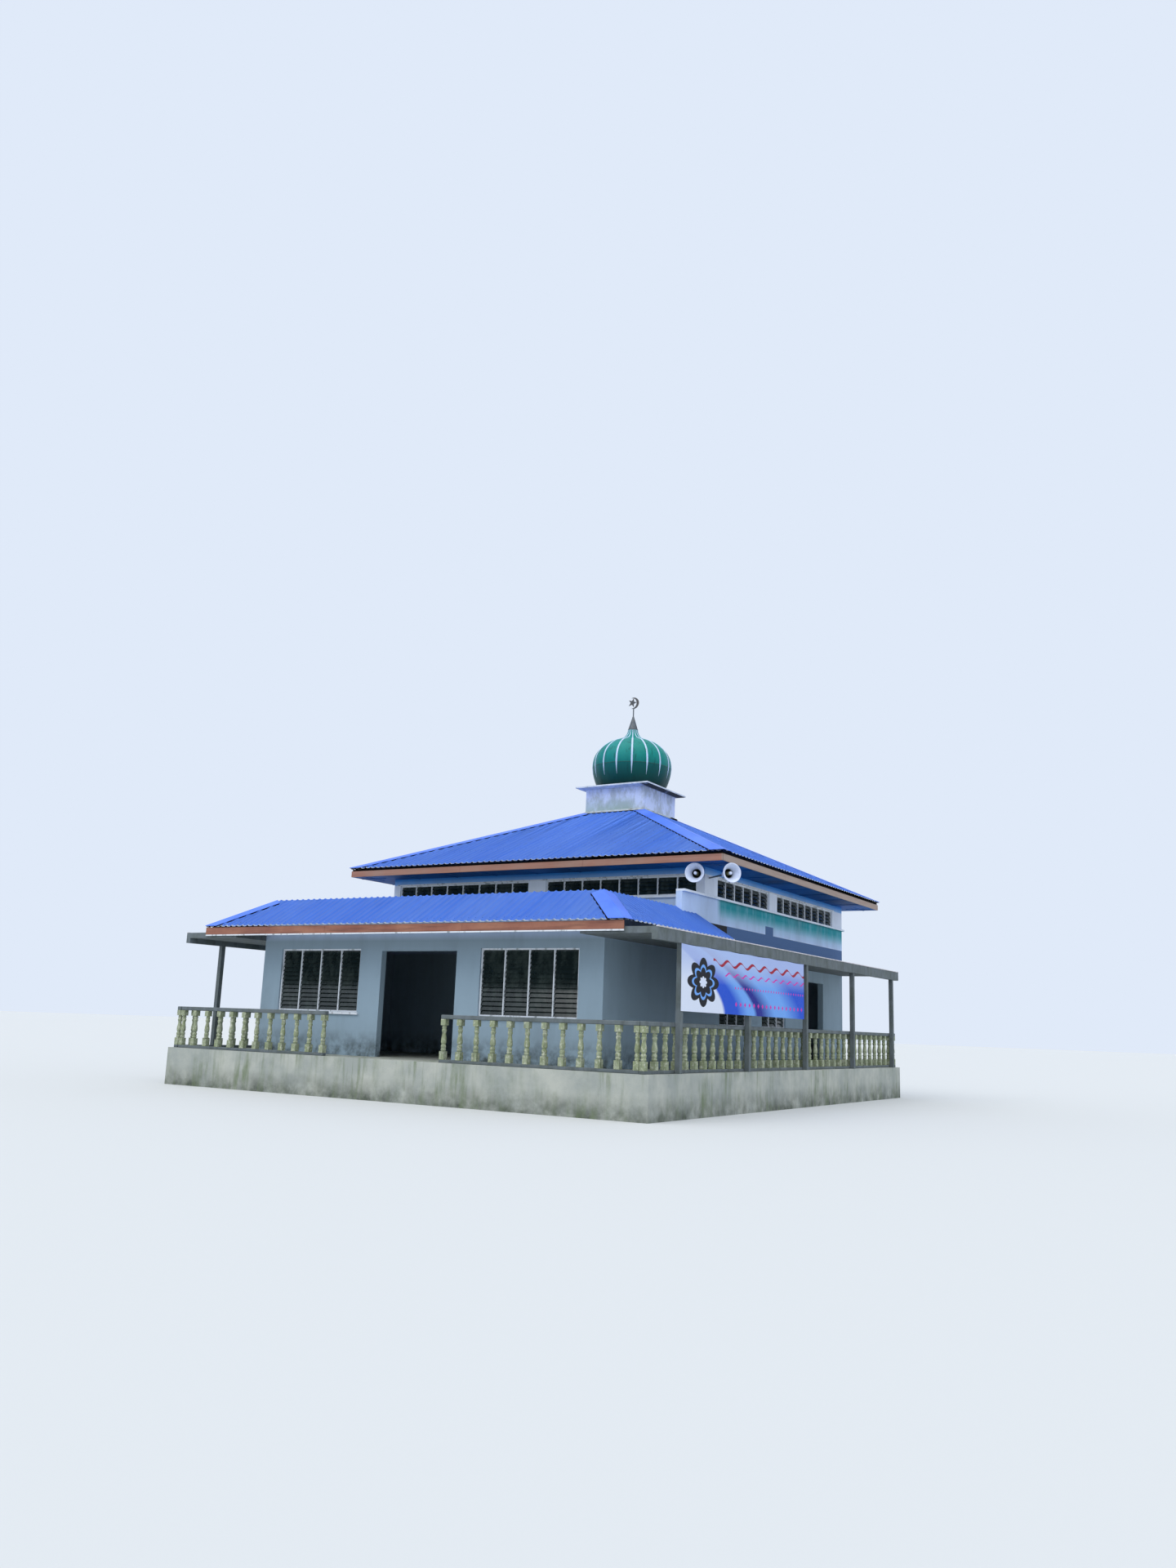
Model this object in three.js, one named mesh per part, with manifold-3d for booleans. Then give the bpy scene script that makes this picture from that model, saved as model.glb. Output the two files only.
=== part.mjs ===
// A small village mosque: a square prayer hall under a pyramid roof of ribbed metal sheet, with an
// onion dome on a square drum, a closed porch under a lower hipped roof, and a raised side verandah
// on each side under a flat concrete canopy.
// Millimetres, +Z up. The origin is on the ground under the middle of the prayer hall, and the
// entrance front looks along -Y.

import * as THREE from 'three';
import { ConvexGeometry } from 'three/addons/geometries/ConvexGeometry.js';
import { mergeVertices } from 'three/addons/utils/BufferGeometryUtils.js';
import Module from 'manifold-3d';

const wasm = await Module();
wasm.setup();

// Gap that faces which bear on each other keep.
const GAP = 0.3;

// Prayer hall and porch, half widths to the outer faces of the plastered brick walls.
const HALL = 4490;
const WALL = 150;
const HALL_IN = HALL - WALL;
const PORCH_FRONT = -8800;
const WING_FRONT = -5600;

// Levels above the ground.
const FLOOR = 800;
const CEILING = 5170;
const CLERESTORY_SILL = 4550;
const CLERESTORY_HEAD = 5000;

// Main roof: half width at the drip edge, level there, and level of the four slopes' meeting point.
const EAVE = 5340;
const EAVE_LEVEL = 5400;
const APEX_LEVEL = 7750;
const ROOF_PITCH = (APEX_LEVEL - EAVE_LEVEL) / EAVE;
const SHEET = 40;

// Drum, slab and dome over the crossing.
const DRUM = 910;
const DRUM_FOOT = 7250;
const SLAB = 1130;
const SLAB_UNDER = 7990;
const SLAB_TOP = 8060;
const SLAB_EDGE = 42;
const SLAB_TAPER = 160;
const DOME_SHELL = 25;
const DOME_GORES = 16;
const DOME_TURN = THREE.MathUtils.degToRad(6.5);
const SPIRE_FOOT = 9820;
const SPIRE_TIP = 10240;
const MAST_TOP = 10462;
const CRESCENT_LEVEL = 10618;

// Lower roof round the porch.
const SKIRT_EAVE = 5450;
const SKIRT_LEVEL = 3500;
const SKIRT_PITCH = 0.62;
const SKIRT_RUN = SKIRT_EAVE - HALL_IN;
const SKIRT_FRONT = PORCH_FRONT + WALL - SKIRT_RUN;
const SKIRT_BACK = -4900;
const SKIRT_TOP = SKIRT_LEVEL + SKIRT_RUN * SKIRT_PITCH;

// Side verandahs.
const VERANDAH = 6100;
const VERANDAH_FRONT = -9900;
const CANOPY_FRONT = -9700;
const CANOPY_TOP = 3360;
const CANOPY_SLAB = 120;
const BEAM_DEPTH = 230;
const BEAM_WIDTH = 120;
const POST = 100;
const POST_INSET = 10;
const POST_PLACES = [-8680, -5600, -2400, 800, 4000];

// Balustrades.
const RAIL_TOP = 1700;
const RAIL = 80;
const FOOT_RAIL = 60;
const BALUSTRADE = 110;
const BALUSTER_PITCH = 400;
const BALUSTER_HALF = 62;
const ENTRANCE = 1500;

// High windows, as their two ends along the wall: two to each side of the hall.
const CROSS_CLERESTORY = [[-4290, -250], [250, 4290]];
const SIDE_CLERESTORY = [[-3825, -809], [-312, 3712]];

// Low windows and doorways: centre, half width, lower and upper level.
const WINDOW = { half: 750, low: 1700, high: 2900 };
const SIDE_WINDOWS = [-2900, -500];
const SIDE_DOOR = { at: 2400, half: 550, high: 2950 };
const BACK_WINDOWS = [-2000, 2000];
const HALL_DOOR_HALF = 1200;
const DOOR_HIGH = 3000;
const PORCH_DOOR_HALF = 1000;
const PORCH_WINDOW = { at: 2770, half: 1170, low: 1700, high: 3050 };
const PANE = 20;
const PANE_LAP = 40;

// Colours of the weathered paint, sheet and concrete.
const finish = (color, roughness, metalness = 0) =>
  new THREE.MeshStandardMaterial({ color, roughness, metalness });
const PAINTS = {
  plinth: [0x8d938f, 0.9],
  wall: [0xa9bde0, 0.85],
  lowerWall: [0x9fb2be, 0.85],
  ceiling: [0x3f86bd, 0.7],
  fascia: [0xd9a482, 0.7],
  lowerFascia: [0x8a4f3c, 0.8],
  sheet: [0x4a6fd8, 0.45, 0.3],
  cap: [0x4165c8, 0.45, 0.3],
  drum: [0xc3c9de, 0.85],
  slab: [0xb9c3d0, 0.85],
  dome: [0x1f8d6b, 0.4],
  spire: [0x5d6366, 0.5, 0.4],
  horn: [0xd8dce8, 0.5],
  concrete: [0x7e8a88, 0.9],
  baluster: [0xb5b79a, 0.85],
  glass: [0x3b4a48, 0.15],
  banner: [0xd6e2f2, 0.6],
};

const mosque = new THREE.Group();

function add(group, name, paint, geometry) {
  const mesh = new THREE.Mesh(geometry, finish(...PAINTS[paint]));
  mesh.name = name;
  group.add(mesh);
  return mesh;
}

function part(group) {
  const child = new THREE.Group();
  group.add(child);
  return child;
}

// A plain block between two corners.
function block([x0, y0, z0], [x1, y1, z1]) {
  const geometry = new THREE.BoxGeometry(x1 - x0, y1 - y0, z1 - z0);
  return geometry.translate((x0 + x1) / 2, (y0 + y1) / 2, (z0 + z1) / 2);
}

// Solids for joining and cutting.
function solid(geometry) {
  const bare = geometry.clone();
  bare.deleteAttribute('normal');
  bare.deleteAttribute('uv');
  const merged = mergeVertices(bare, 1e-3);
  const vertProperties = new Float32Array(merged.attributes.position.array);
  const triVerts = new Uint32Array(merged.index.array);
  return new wasm.Manifold(new wasm.Mesh({ numProp: 3, vertProperties, triVerts }));
}

function surface(body) {
  const { vertProperties, triVerts } = body.getMesh();
  const geometry = new THREE.BufferGeometry();
  geometry.setAttribute('position', new THREE.BufferAttribute(vertProperties, 3));
  geometry.setIndex(new THREE.BufferAttribute(triVerts, 1));
  return geometry;
}

function join(...geometries) {
  return surface(geometries.map(solid).reduce((whole, piece) => whole.add(piece)));
}

function cut(geometry, ...tools) {
  return surface(tools.map(solid).reduce((rest, tool) => rest.subtract(tool), solid(geometry)));
}

// Four upright faces round a square, open above and below.
function squareTube(half, wall, low, high) {
  const inner = half - wall;
  const core = block([-inner, -inner, low - 1], [inner, inner, high + 1]);
  return cut(block([-half, -half, low], [half, half, high]), core);
}

// Flat outlines. A panel stands on edge: its outline is drawn as (along, level).
function outline(points) {
  return new THREE.Shape(points.map(([u, v]) => new THREE.Vector2(u, v)));
}

function panel(points, depth) {
  return new THREE.ExtrudeGeometry(outline(points), { depth, bevelEnabled: false });
}

// A panel across the building, from y outwards to the front, or along it, from x to the right.
function acrossAt(y, geometry) {
  return geometry.rotateX(Math.PI / 2).translate(0, y, 0);
}

function alongAt(x, geometry) {
  return geometry.rotateY(Math.PI / 2).rotateX(Math.PI / 2).translate(x, 0, 0);
}

// Openings in a wall, each given as its two ends along the wall and its two levels.
function clerestoryHoles(rows) {
  return rows.map((ends) => [...ends, CLERESTORY_SILL, CLERESTORY_HEAD]);
}

function windowHole(at, { half, low, high }) {
  return [at - half, at + half, low, high];
}

function doorHole(at, half, high) {
  return [at - half, at + half, FLOOR - 1, high];
}

// Raised floor: a masonry plinth filled and floated over.
function makePlinth() {
  add(mosque, 'plinth', 'plinth', block([-VERANDAH, VERANDAH_FRONT, 0], [VERANDAH, HALL, FLOOR]));
}

// Hall and porch walls, with the doorways and windows cut through. The long side walls run from the
// porch front to the back wall: low under the porch roof, a wing up to the sill, then full height.
// A narrow ledge runs under the high windows.
const LEDGE = 60;
const LEDGE_DEPTH = 50;
const WALL_FOOT = FLOOR + GAP;
const WALL_HEAD = CEILING - GAP;
const PORCH_HEAD = SKIRT_LEVEL + (SKIRT_EAVE - HALL) * SKIRT_PITCH - SHEET - GAP;
const FRONT_HEAD = SKIRT_LEVEL + (PORCH_FRONT - SKIRT_FRONT) * SKIRT_PITCH - SHEET - GAP;

function ledge(low, high) {
  const under = CLERESTORY_SILL - LEDGE_DEPTH;
  return block([...low, under], [...high, CLERESTORY_SILL]);
}

function sideWall() {
  const face = [
    [PORCH_FRONT, WALL_FOOT], [HALL, WALL_FOOT], [HALL, WALL_HEAD], [-HALL, WALL_HEAD],
    [-HALL, CLERESTORY_SILL], [WING_FRONT, CLERESTORY_SILL], [WING_FRONT, PORCH_HEAD],
    [PORCH_FRONT, PORCH_HEAD],
  ];
  const wall = alongAt(HALL_IN, panel(face, WALL));
  const ledged = join(wall, ledge([HALL - 1, WING_FRONT], [HALL + LEDGE, HALL + LEDGE]));
  const holes = [
    ...clerestoryHoles(SIDE_CLERESTORY),
    ...SIDE_WINDOWS.map((at) => windowHole(at, WINDOW)),
    doorHole(SIDE_DOOR.at, SIDE_DOOR.half, SIDE_DOOR.high),
  ];
  const cutters = holes.map(([y0, y1, z0, z1]) => block([HALL_IN - 1, y0, z0], [HALL + 1, y1, z1]));
  return cut(ledged, ...cutters);
}

// A wall that stands between the side walls, from its front face backwards.
function crossWall(front, head, holes) {
  const edge = HALL_IN - GAP;
  const wall = block([-edge, front, WALL_FOOT], [edge, front + WALL, head]);
  const back = front + WALL + 1;
  return cut(wall, ...holes.map(([x0, x1, z0, z1]) => block([x0, front - 1, z0], [x1, back, z1])));
}

function makeWalls() {
  const walls = part(mosque);
  const edge = HALL_IN - GAP;
  add(walls, 'right_wall', 'wall', sideWall());
  add(walls, 'left_wall', 'wall', mirrored(sideWall()));
  const hallDoor = doorHole(0, HALL_DOOR_HALF, DOOR_HIGH);
  const front = crossWall(-HALL, WALL_HEAD, [...clerestoryHoles(CROSS_CLERESTORY), hallDoor]);
  const frontLedge = ledge([-edge, -HALL - LEDGE], [edge, -HALL + 1]);
  add(walls, 'hall_front_wall', 'wall', join(front, frontLedge));
  const backWindows = BACK_WINDOWS.map((at) => windowHole(at, WINDOW));
  const backHoles = [...clerestoryHoles(CROSS_CLERESTORY), ...backWindows];
  const backLedge = ledge([-edge, HALL - 1], [edge, HALL + LEDGE]);
  add(walls, 'back_wall', 'wall', join(crossWall(HALL_IN, WALL_HEAD, backHoles), backLedge));
  const porchHoles = [-1, 1].map((side) => windowHole(side * PORCH_WINDOW.at, PORCH_WINDOW));
  const porchDoor = doorHole(0, PORCH_DOOR_HALF, DOOR_HIGH);
  const porch = crossWall(PORCH_FRONT, FRONT_HEAD, [...porchHoles, porchDoor]);
  add(walls, 'porch_front_wall', 'lowerWall', porch);
}

// The same piece on the other side of the building, with its faces turned to point outwards.
function mirrored(geometry) {
  const copy = geometry.clone().scale(-1, 1, 1);
  const { array } = copy.index;
  for (let i = 0; i < array.length; i += 3) {
    [array[i], array[i + 1]] = [array[i + 1], array[i]];
  }
  return copy;
}

// Glass sheets fixed on the inner faces of the walls, one to a row of windows.
function paneBehind(side, u0, u1, low, high) {
  const inner = HALL_IN - GAP;
  const [v0, v1] = [low - PANE_LAP, high + PANE_LAP];
  const boxes = {
    right: [[inner - PANE, u0, v0], [inner, u1, v1]],
    left: [[-inner, u0, v0], [PANE - inner, u1, v1]],
    front: [[u0, -inner, v0], [u1, PANE - inner, v1]],
    back: [[u0, inner - PANE, v0], [u1, inner, v1]],
  };
  return block(...boxes[side]);
}

function makeGlass() {
  const glass = part(mosque);
  for (const side of ['front', 'right', 'back', 'left']) {
    const [first, last] = ['front', 'back'].includes(side) ? CROSS_CLERESTORY : SIDE_CLERESTORY;
    const ends = [first[0] - PANE_LAP, last[1] + PANE_LAP];
    const sheet = paneBehind(side, ...ends, CLERESTORY_SILL, CLERESTORY_HEAD);
    add(glass, `${side}_clerestory_glass`, 'glass', sheet);
  }
  const margin = WINDOW.half + PANE_LAP;
  const sideRow = [SIDE_WINDOWS[0] - margin, SIDE_WINDOWS[1] + margin, WINDOW.low, WINDOW.high];
  const backRow = [BACK_WINDOWS[0] - margin, BACK_WINDOWS[1] + margin, WINDOW.low, WINDOW.high];
  add(glass, 'right_window_glass', 'glass', paneBehind('right', ...sideRow));
  add(glass, 'left_window_glass', 'glass', paneBehind('left', ...sideRow));
  add(glass, 'back_window_glass', 'glass', paneBehind('back', ...backRow));
  const { at, half, low, high } = PORCH_WINDOW;
  const inside = PORCH_FRONT + WALL + GAP;
  for (const [name, side] of [['left', -1], ['right', 1]]) {
    const [x0, x1] = [side * at - half - PANE_LAP, side * at + half + PANE_LAP];
    const corners = [[x0, inside, low - PANE_LAP], [x1, inside + PANE, high + PANE_LAP]];
    add(glass, `porch_${name}_window_glass`, 'glass', block(...corners));
  }
}

// Main roof: ceiling and eave lining in one level, fascia boards, four sheeted slopes and hip caps.
const FASCIA = 25;
const FASCIA_FACE = EAVE - 40;
const LINING = 20;
const CAP_SHEET = 8;
const CAP_WING = 240;
const CAP_LIFT = 1;
const CAP_END = DRUM + 5;

const roofLevel = (distance) => EAVE_LEVEL + (EAVE - distance) * ROOF_PITCH;

function roofSlope() {
  const near = DRUM + GAP;
  const points = [];
  for (const distance of [EAVE, near]) {
    for (const side of [-1, 1]) {
      const x = side * (distance - GAP);
      const z = roofLevel(distance);
      points.push(new THREE.Vector3(x, -distance, z), new THREE.Vector3(x, -distance, z - SHEET));
    }
  }
  return new ConvexGeometry(points);
}

// A bent cap strip along the front right hip, resting on the two slopes beside it.
function hipCap() {
  const low = new THREE.Vector3(EAVE, -EAVE, EAVE_LEVEL);
  const high = new THREE.Vector3(CAP_END, -CAP_END, roofLevel(CAP_END));
  const alongHip = high.clone().sub(low).normalize();
  const sideways = new THREE.Vector3(1, 1, 0).normalize();
  const outward = sideways.clone().cross(alongHip).normalize();
  const drop = CAP_WING * (ROOF_PITCH / Math.SQRT2) * outward.z;
  const under = CAP_LIFT;
  const over = CAP_LIFT + CAP_SHEET;
  const chevron = outline([
    [-CAP_WING, under - drop], [0, under], [CAP_WING, under - drop],
    [CAP_WING, over - drop], [0, over], [-CAP_WING, over - drop],
  ]);
  const depth = high.distanceTo(low);
  const strip = new THREE.ExtrudeGeometry(chevron, { depth, bevelEnabled: false });
  const axisX = outward.clone().cross(alongHip);
  const basis = new THREE.Matrix4().makeBasis(axisX, outward, alongHip).setPosition(low);
  const past = EAVE + 2 * CAP_WING;
  return cut(
    strip.applyMatrix4(basis),
    block([EAVE, -past, CEILING], [past, past, APEX_LEVEL]),
    block([-past, -past, CEILING], [past, -EAVE, APEX_LEVEL]),
  );
}

function makeMainRoof() {
  const roof = part(mosque);
  const lining = FASCIA_FACE - FASCIA - GAP;
  const sheet = block([-lining, -lining, CEILING], [lining, lining, CEILING + LINING]);
  add(roof, 'ceiling', 'ceiling', sheet);
  const boardTop = roofLevel(FASCIA_FACE) - SHEET - GAP;
  add(roof, 'eave_fascia', 'fascia', squareTube(FASCIA_FACE, FASCIA, CEILING, boardTop));
  const sides = ['front', 'right', 'back', 'left'];
  sides.forEach((side, turn) => {
    const slope = add(roof, `${side}_roof_slope`, 'sheet', roofSlope());
    slope.rotation.z = turn * Math.PI / 2;
    const next = sides[(turn + 1) % sides.length];
    const cap = add(roof, `${side}_${next}_hip_cap`, 'cap', hipCap());
    cap.rotation.z = turn * Math.PI / 2;
  });
}

// Drum, slab, onion dome with its spire, mast, crescent and star.
const DRUM_WALL = 100;
const DOME_PROFILE = [
  [900, 0], [1010, 200], [1082, 450], [1100, 700], [1060, 930], [962, 1105],
  [830, 1240], [660, 1360], [450, 1445], [280, 1520], [175, 1640], [137, 1760],
];
const PROFILE_STEPS = 18;

function domeShell() {
  const outer = new THREE.SplineCurve(DOME_PROFILE.map(([r, z]) => new THREE.Vector2(r, z)));
  const skin = outer.getPoints(PROFILE_STEPS);
  const inner = skin.map(({ x, y }, i) => {
    const before = skin[Math.max(i - 1, 0)];
    const after = skin[Math.min(i + 1, skin.length - 1)];
    const normal = new THREE.Vector2(after.y - before.y, before.x - after.x).normalize();
    return new THREE.Vector2(x - normal.x * DOME_SHELL, y - normal.y * DOME_SHELL);
  });
  inner[0].y = 0;
  inner[inner.length - 1].y = skin[skin.length - 1].y;
  const profile = [...skin, ...inner.reverse(), skin[0].clone()];
  const shell = new THREE.LatheGeometry(profile, DOME_GORES * 2);
  return shell.rotateX(Math.PI / 2).rotateZ(DOME_TURN).translate(0, 0, SLAB_TOP + GAP);
}

// The slab is thin at its edge and tapers down to the drum.
function drumSlab() {
  const rings = [[SLAB - SLAB_TAPER, SLAB_UNDER], [SLAB, SLAB_TOP - SLAB_EDGE], [SLAB, SLAB_TOP]];
  const points = [];
  for (const [half, z] of rings) {
    for (const [x, y] of [[-half, -half], [half, -half], [half, half], [-half, half]]) {
      points.push(new THREE.Vector3(x, y, z));
    }
  }
  return new ConvexGeometry(points);
}

const CRESCENT = { outer: 166, inner: 150, shift: 55, thick: 16 };
const STAR = { outer: 146, inner: 54, at: [-41, 18] };
const MAST = 14;
const SPIRE_FOOT_HALF = 137;

function crescent() {
  const { outer, inner, shift, thick } = CRESCENT;
  const disc = (radius, x, depth) => {
    const shape = new THREE.Shape();
    shape.absarc(x, 0, radius, 0, Math.PI * 2);
    const geometry = new THREE.ExtrudeGeometry(shape, { depth, bevelEnabled: false, curveSegments: 20 });
    return geometry.translate(0, 0, -depth / 2);
  };
  return cut(disc(outer, 0, thick), disc(inner, -shift, thick * 2));
}

function star() {
  const points = [];
  for (let i = 0; i < 10; i += 1) {
    const radius = i % 2 ? STAR.inner : STAR.outer;
    const angle = (i * Math.PI) / 5;
    points.push([STAR.at[0] + radius * Math.cos(angle), STAR.at[1] + radius * Math.sin(angle)]);
  }
  const { thick } = CRESCENT;
  const depth = thick * 0.8;
  return new THREE.ExtrudeGeometry(outline(points), { depth, bevelEnabled: false })
    .translate(0, 0, -depth / 2);
}

function spire() {
  const foot = SPIRE_FOOT + GAP * 2;
  const profile = [
    [0, foot], [SPIRE_FOOT_HALF, foot], [MAST, SPIRE_TIP], [MAST, MAST_TOP], [0, MAST_TOP],
  ];
  const shaft = new THREE.LatheGeometry(profile.map(([r, z]) => new THREE.Vector2(r, z)), 16);
  const emblem = join(crescent(), star());
  return join(
    shaft.rotateX(Math.PI / 2),
    emblem.rotateX(Math.PI / 2).translate(0, 0, CRESCENT_LEVEL),
  );
}

function makeDome() {
  const crown = part(mosque);
  add(crown, 'drum', 'drum', squareTube(DRUM, DRUM_WALL, DRUM_FOOT, SLAB_UNDER - GAP));
  add(crown, 'drum_slab', 'slab', drumSlab());
  add(crown, 'dome', 'dome', domeShell());
  add(crown, 'spire', 'spire', spire());
}

// Horn loudspeakers under the eave corner, each on an arm from the wall. The axis of each horn runs
// from its mouth back to the wall face, and heading is its turn from the front towards the right.
const HORN_LEVEL = 4945;
const HORN_MOUTH = 218;
const HORN_THROAT = 50;
const HORN_LENGTH = 300;
const HORN_SKIN = 6;
const HORN_DRIVER = { half: 62, length: 90 };
const HORN_ARM = 20;
const HORNS = [
  { name: 'front_horn', mouth: [4570, -5190], heading: 11, wall: 'front' },
  { name: 'side_horn', mouth: [5350, -4930], heading: 52, wall: 'side' },
];

function horn(arm) {
  const flare = [];
  const steps = 7;
  for (let i = 0; i <= steps; i += 1) {
    const t = i / steps;
    const radius = HORN_THROAT * (HORN_MOUTH / HORN_THROAT) ** (1 - t);
    flare.push([radius, t * HORN_LENGTH]);
  }
  const inner = flare.slice(1).reverse().map(([r, z]) => [r - HORN_SKIN, z]);
  const { half, length } = HORN_DRIVER;
  const end = HORN_LENGTH + length;
  const profile = [
    [0, HORN_LENGTH], ...inner, [HORN_MOUTH - HORN_SKIN, 0], ...flare,
    [half, HORN_LENGTH], [half, end], [HORN_ARM, end], [HORN_ARM, arm], [0, arm],
  ];
  const points = profile.map(([r, z]) => new THREE.Vector2(r, z));
  return new THREE.LatheGeometry(points, 20);
}

function makeHorns() {
  const horns = part(mosque);
  for (const { name, mouth, heading, wall } of HORNS) {
    const turn = THREE.MathUtils.degToRad(heading);
    const back = [-Math.sin(turn), Math.cos(turn)];
    const clear = HORN_ARM * Math.abs(wall === 'front' ? back[0] : back[1]) + GAP;
    const arm = wall === 'front'
      ? (-HALL - clear - mouth[1]) / back[1]
      : (HALL + clear - mouth[0]) / back[0];
    const mesh = add(horns, name, 'horn', horn(arm));
    mesh.position.set(...mouth, HORN_LEVEL);
    mesh.rotation.z = turn;
  }
}

// Porch: a flat deck between the walls and a hipped skirt of sheets on the front and both sides.
const DECK = 140;
const PORCH_FASCIA = 150;
const PORCH_FASCIA_BACK = 15;
const skirtLevel = (outwards) => SKIRT_LEVEL + (SKIRT_RUN - outwards) * SKIRT_PITCH;

function skirtPlate(corners) {
  const points = corners.flatMap(([x, y, outwards]) => {
    const z = skirtLevel(outwards);
    return [new THREE.Vector3(x, y, z), new THREE.Vector3(x, y, z - SHEET)];
  });
  return new ConvexGeometry(points);
}

function makePorch() {
  const porch = part(mosque);
  const edge = HALL_IN - GAP;
  const deckTop = SKIRT_TOP - SHEET - GAP;
  const deckFront = PORCH_FRONT + WALL + GAP;
  const deck = block([-edge, deckFront, deckTop - DECK], [edge, -HALL - GAP, deckTop]);
  add(porch, 'porch_deck', 'slab', deck);

  const front = PORCH_FRONT + WALL;
  const eave = SKIRT_EAVE - GAP;
  add(porch, 'front_skirt_roof', 'sheet', skirtPlate([
    [-eave, SKIRT_FRONT, SKIRT_RUN], [eave, SKIRT_FRONT, SKIRT_RUN],
    [-edge, front, 0], [edge, front, 0],
  ]));
  const side = skirtPlate([
    [SKIRT_EAVE, SKIRT_FRONT + GAP, SKIRT_RUN], [SKIRT_EAVE, SKIRT_BACK, SKIRT_RUN],
    [HALL_IN, front + GAP, 0], [HALL_IN, SKIRT_BACK, 0],
  ]);
  const wingFront = WING_FRONT - GAP;
  const wing = block([HALL_IN - 1, wingFront, SKIRT_LEVEL], [HALL + GAP, SKIRT_BACK + 1, CEILING]);
  const fitted = cut(side, wing);
  add(porch, 'right_skirt_roof', 'sheet', fitted);
  add(porch, 'left_skirt_roof', 'sheet', mirrored(fitted));

  const face = SKIRT_FRONT + PORCH_FASCIA_BACK;
  const half = SKIRT_EAVE - PORCH_FASCIA_BACK;
  const low = SKIRT_LEVEL - SHEET - PORCH_FASCIA;
  const high = skirtLevel(SKIRT_RUN - PORCH_FASCIA_BACK) - SHEET - GAP;
  add(porch, 'porch_fascia', 'lowerFascia', block([-half, face, low], [half, face + FASCIA, high]));
}

// Side verandahs: a concrete canopy on posts, and balustrades on the plinth's edge.
function canopy() {
  const section = outline([
    [HALL + GAP, CANOPY_TOP - CANOPY_SLAB], [VERANDAH - BEAM_WIDTH, CANOPY_TOP - CANOPY_SLAB],
    [VERANDAH - BEAM_WIDTH, CANOPY_TOP - BEAM_DEPTH], [VERANDAH, CANOPY_TOP - BEAM_DEPTH],
    [VERANDAH, CANOPY_TOP], [HALL + GAP, CANOPY_TOP],
  ]);
  const depth = HALL - CANOPY_FRONT;
  const slab = acrossAt(HALL, new THREE.ExtrudeGeometry(section, { depth, bevelEnabled: false }));
  const face = VERANDAH - POST_INSET;
  const posts = POST_PLACES.map((y) => block(
    [face - POST, y - POST / 2, FLOOR + GAP],
    [face, y + POST / 2, CANOPY_TOP - BEAM_DEPTH + 1],
  ));
  return join(slab, ...posts);
}

// Half width of a cast baluster at each level between the rails, as a share of the clear height.
const BALUSTER_PROFILE = [
  [0, BALUSTER_HALF], [0.2, BALUSTER_HALF], [0.25, 42], [0.46, 58], [0.7, 40],
  [0.8, BALUSTER_HALF], [1, BALUSTER_HALF],
];

// A row of balusters between a foot rail and a top rail, pierced out of one panel.
function balustrade(start, end) {
  const low = FLOOR + GAP;
  const foot = low + FOOT_RAIL;
  const clear = RAIL_TOP - RAIL - foot;
  const count = Math.round((end - start) / BALUSTER_PITCH);
  const pitch = (end - start) / count;
  const left = BALUSTER_PROFILE.map(([share, half]) => [half, foot + share * clear]);
  const right = BALUSTER_PROFILE.map(([share, half]) => [pitch - half, foot + share * clear]);
  const gap = [...left, ...right.reverse()];
  const holes = [];
  for (let i = 0; i < count; i += 1) {
    const cutter = panel(gap.map(([u, v]) => [u + start + i * pitch, v]), BALUSTRADE + 2);
    holes.push(cutter.translate(0, 0, -1));
  }
  const [near, far] = [start - BALUSTER_HALF, end + BALUSTER_HALF];
  const face = [[near, low], [far, low], [far, RAIL_TOP], [near, RAIL_TOP]];
  return cut(panel(face, BALUSTRADE), ...holes);
}

const BANNER = { front: -8750, back: -2650, low: 1910, thick: 9 };

// How far the balustrades stand clear of the posts, of the floor's front edge and of each other.
const POST_CLEAR = 5;
const SIDE_ROW_FRONT = VERANDAH_FRONT + 110;
const FRONT_ROW_EDGE = 60;
const CORNER_CLEAR = 70;

function makeVerandahs() {
  const verandahs = part(mosque);
  const right = canopy();
  add(verandahs, 'right_canopy', 'concrete', right);
  add(verandahs, 'left_canopy', 'concrete', mirrored(right));

  const inner = VERANDAH - POST_INSET - POST - BALUSTRADE - POST_CLEAR;
  const sideRow = alongAt(inner, balustrade(SIDE_ROW_FRONT, HALL - BALUSTER_HALF));
  add(verandahs, 'right_balustrade', 'baluster', sideRow);
  add(verandahs, 'left_balustrade', 'baluster', mirrored(sideRow));
  const frontFace = VERANDAH_FRONT + FRONT_ROW_EDGE + BALUSTRADE;
  const frontRow = acrossAt(frontFace, balustrade(ENTRANCE + BALUSTER_HALF, inner - CORNER_CLEAR));
  add(verandahs, 'front_right_balustrade', 'baluster', frontRow);
  add(verandahs, 'front_left_balustrade', 'baluster', mirrored(frontRow));

  const outer = VERANDAH - 1;
  const sheet = block(
    [outer - BANNER.thick + GAP, BANNER.front, BANNER.low],
    [outer, BANNER.back, CANOPY_TOP - BEAM_DEPTH - GAP],
  );
  add(verandahs, 'banner', 'banner', sheet);
}

makePlinth();
makeWalls();
makeGlass();
makeMainRoof();
makeDome();
makeHorns();
makePorch();
makeVerandahs();

export default mosque;
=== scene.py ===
import math

import bmesh
import bpy
from mathutils import Matrix, Vector, noise


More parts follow.
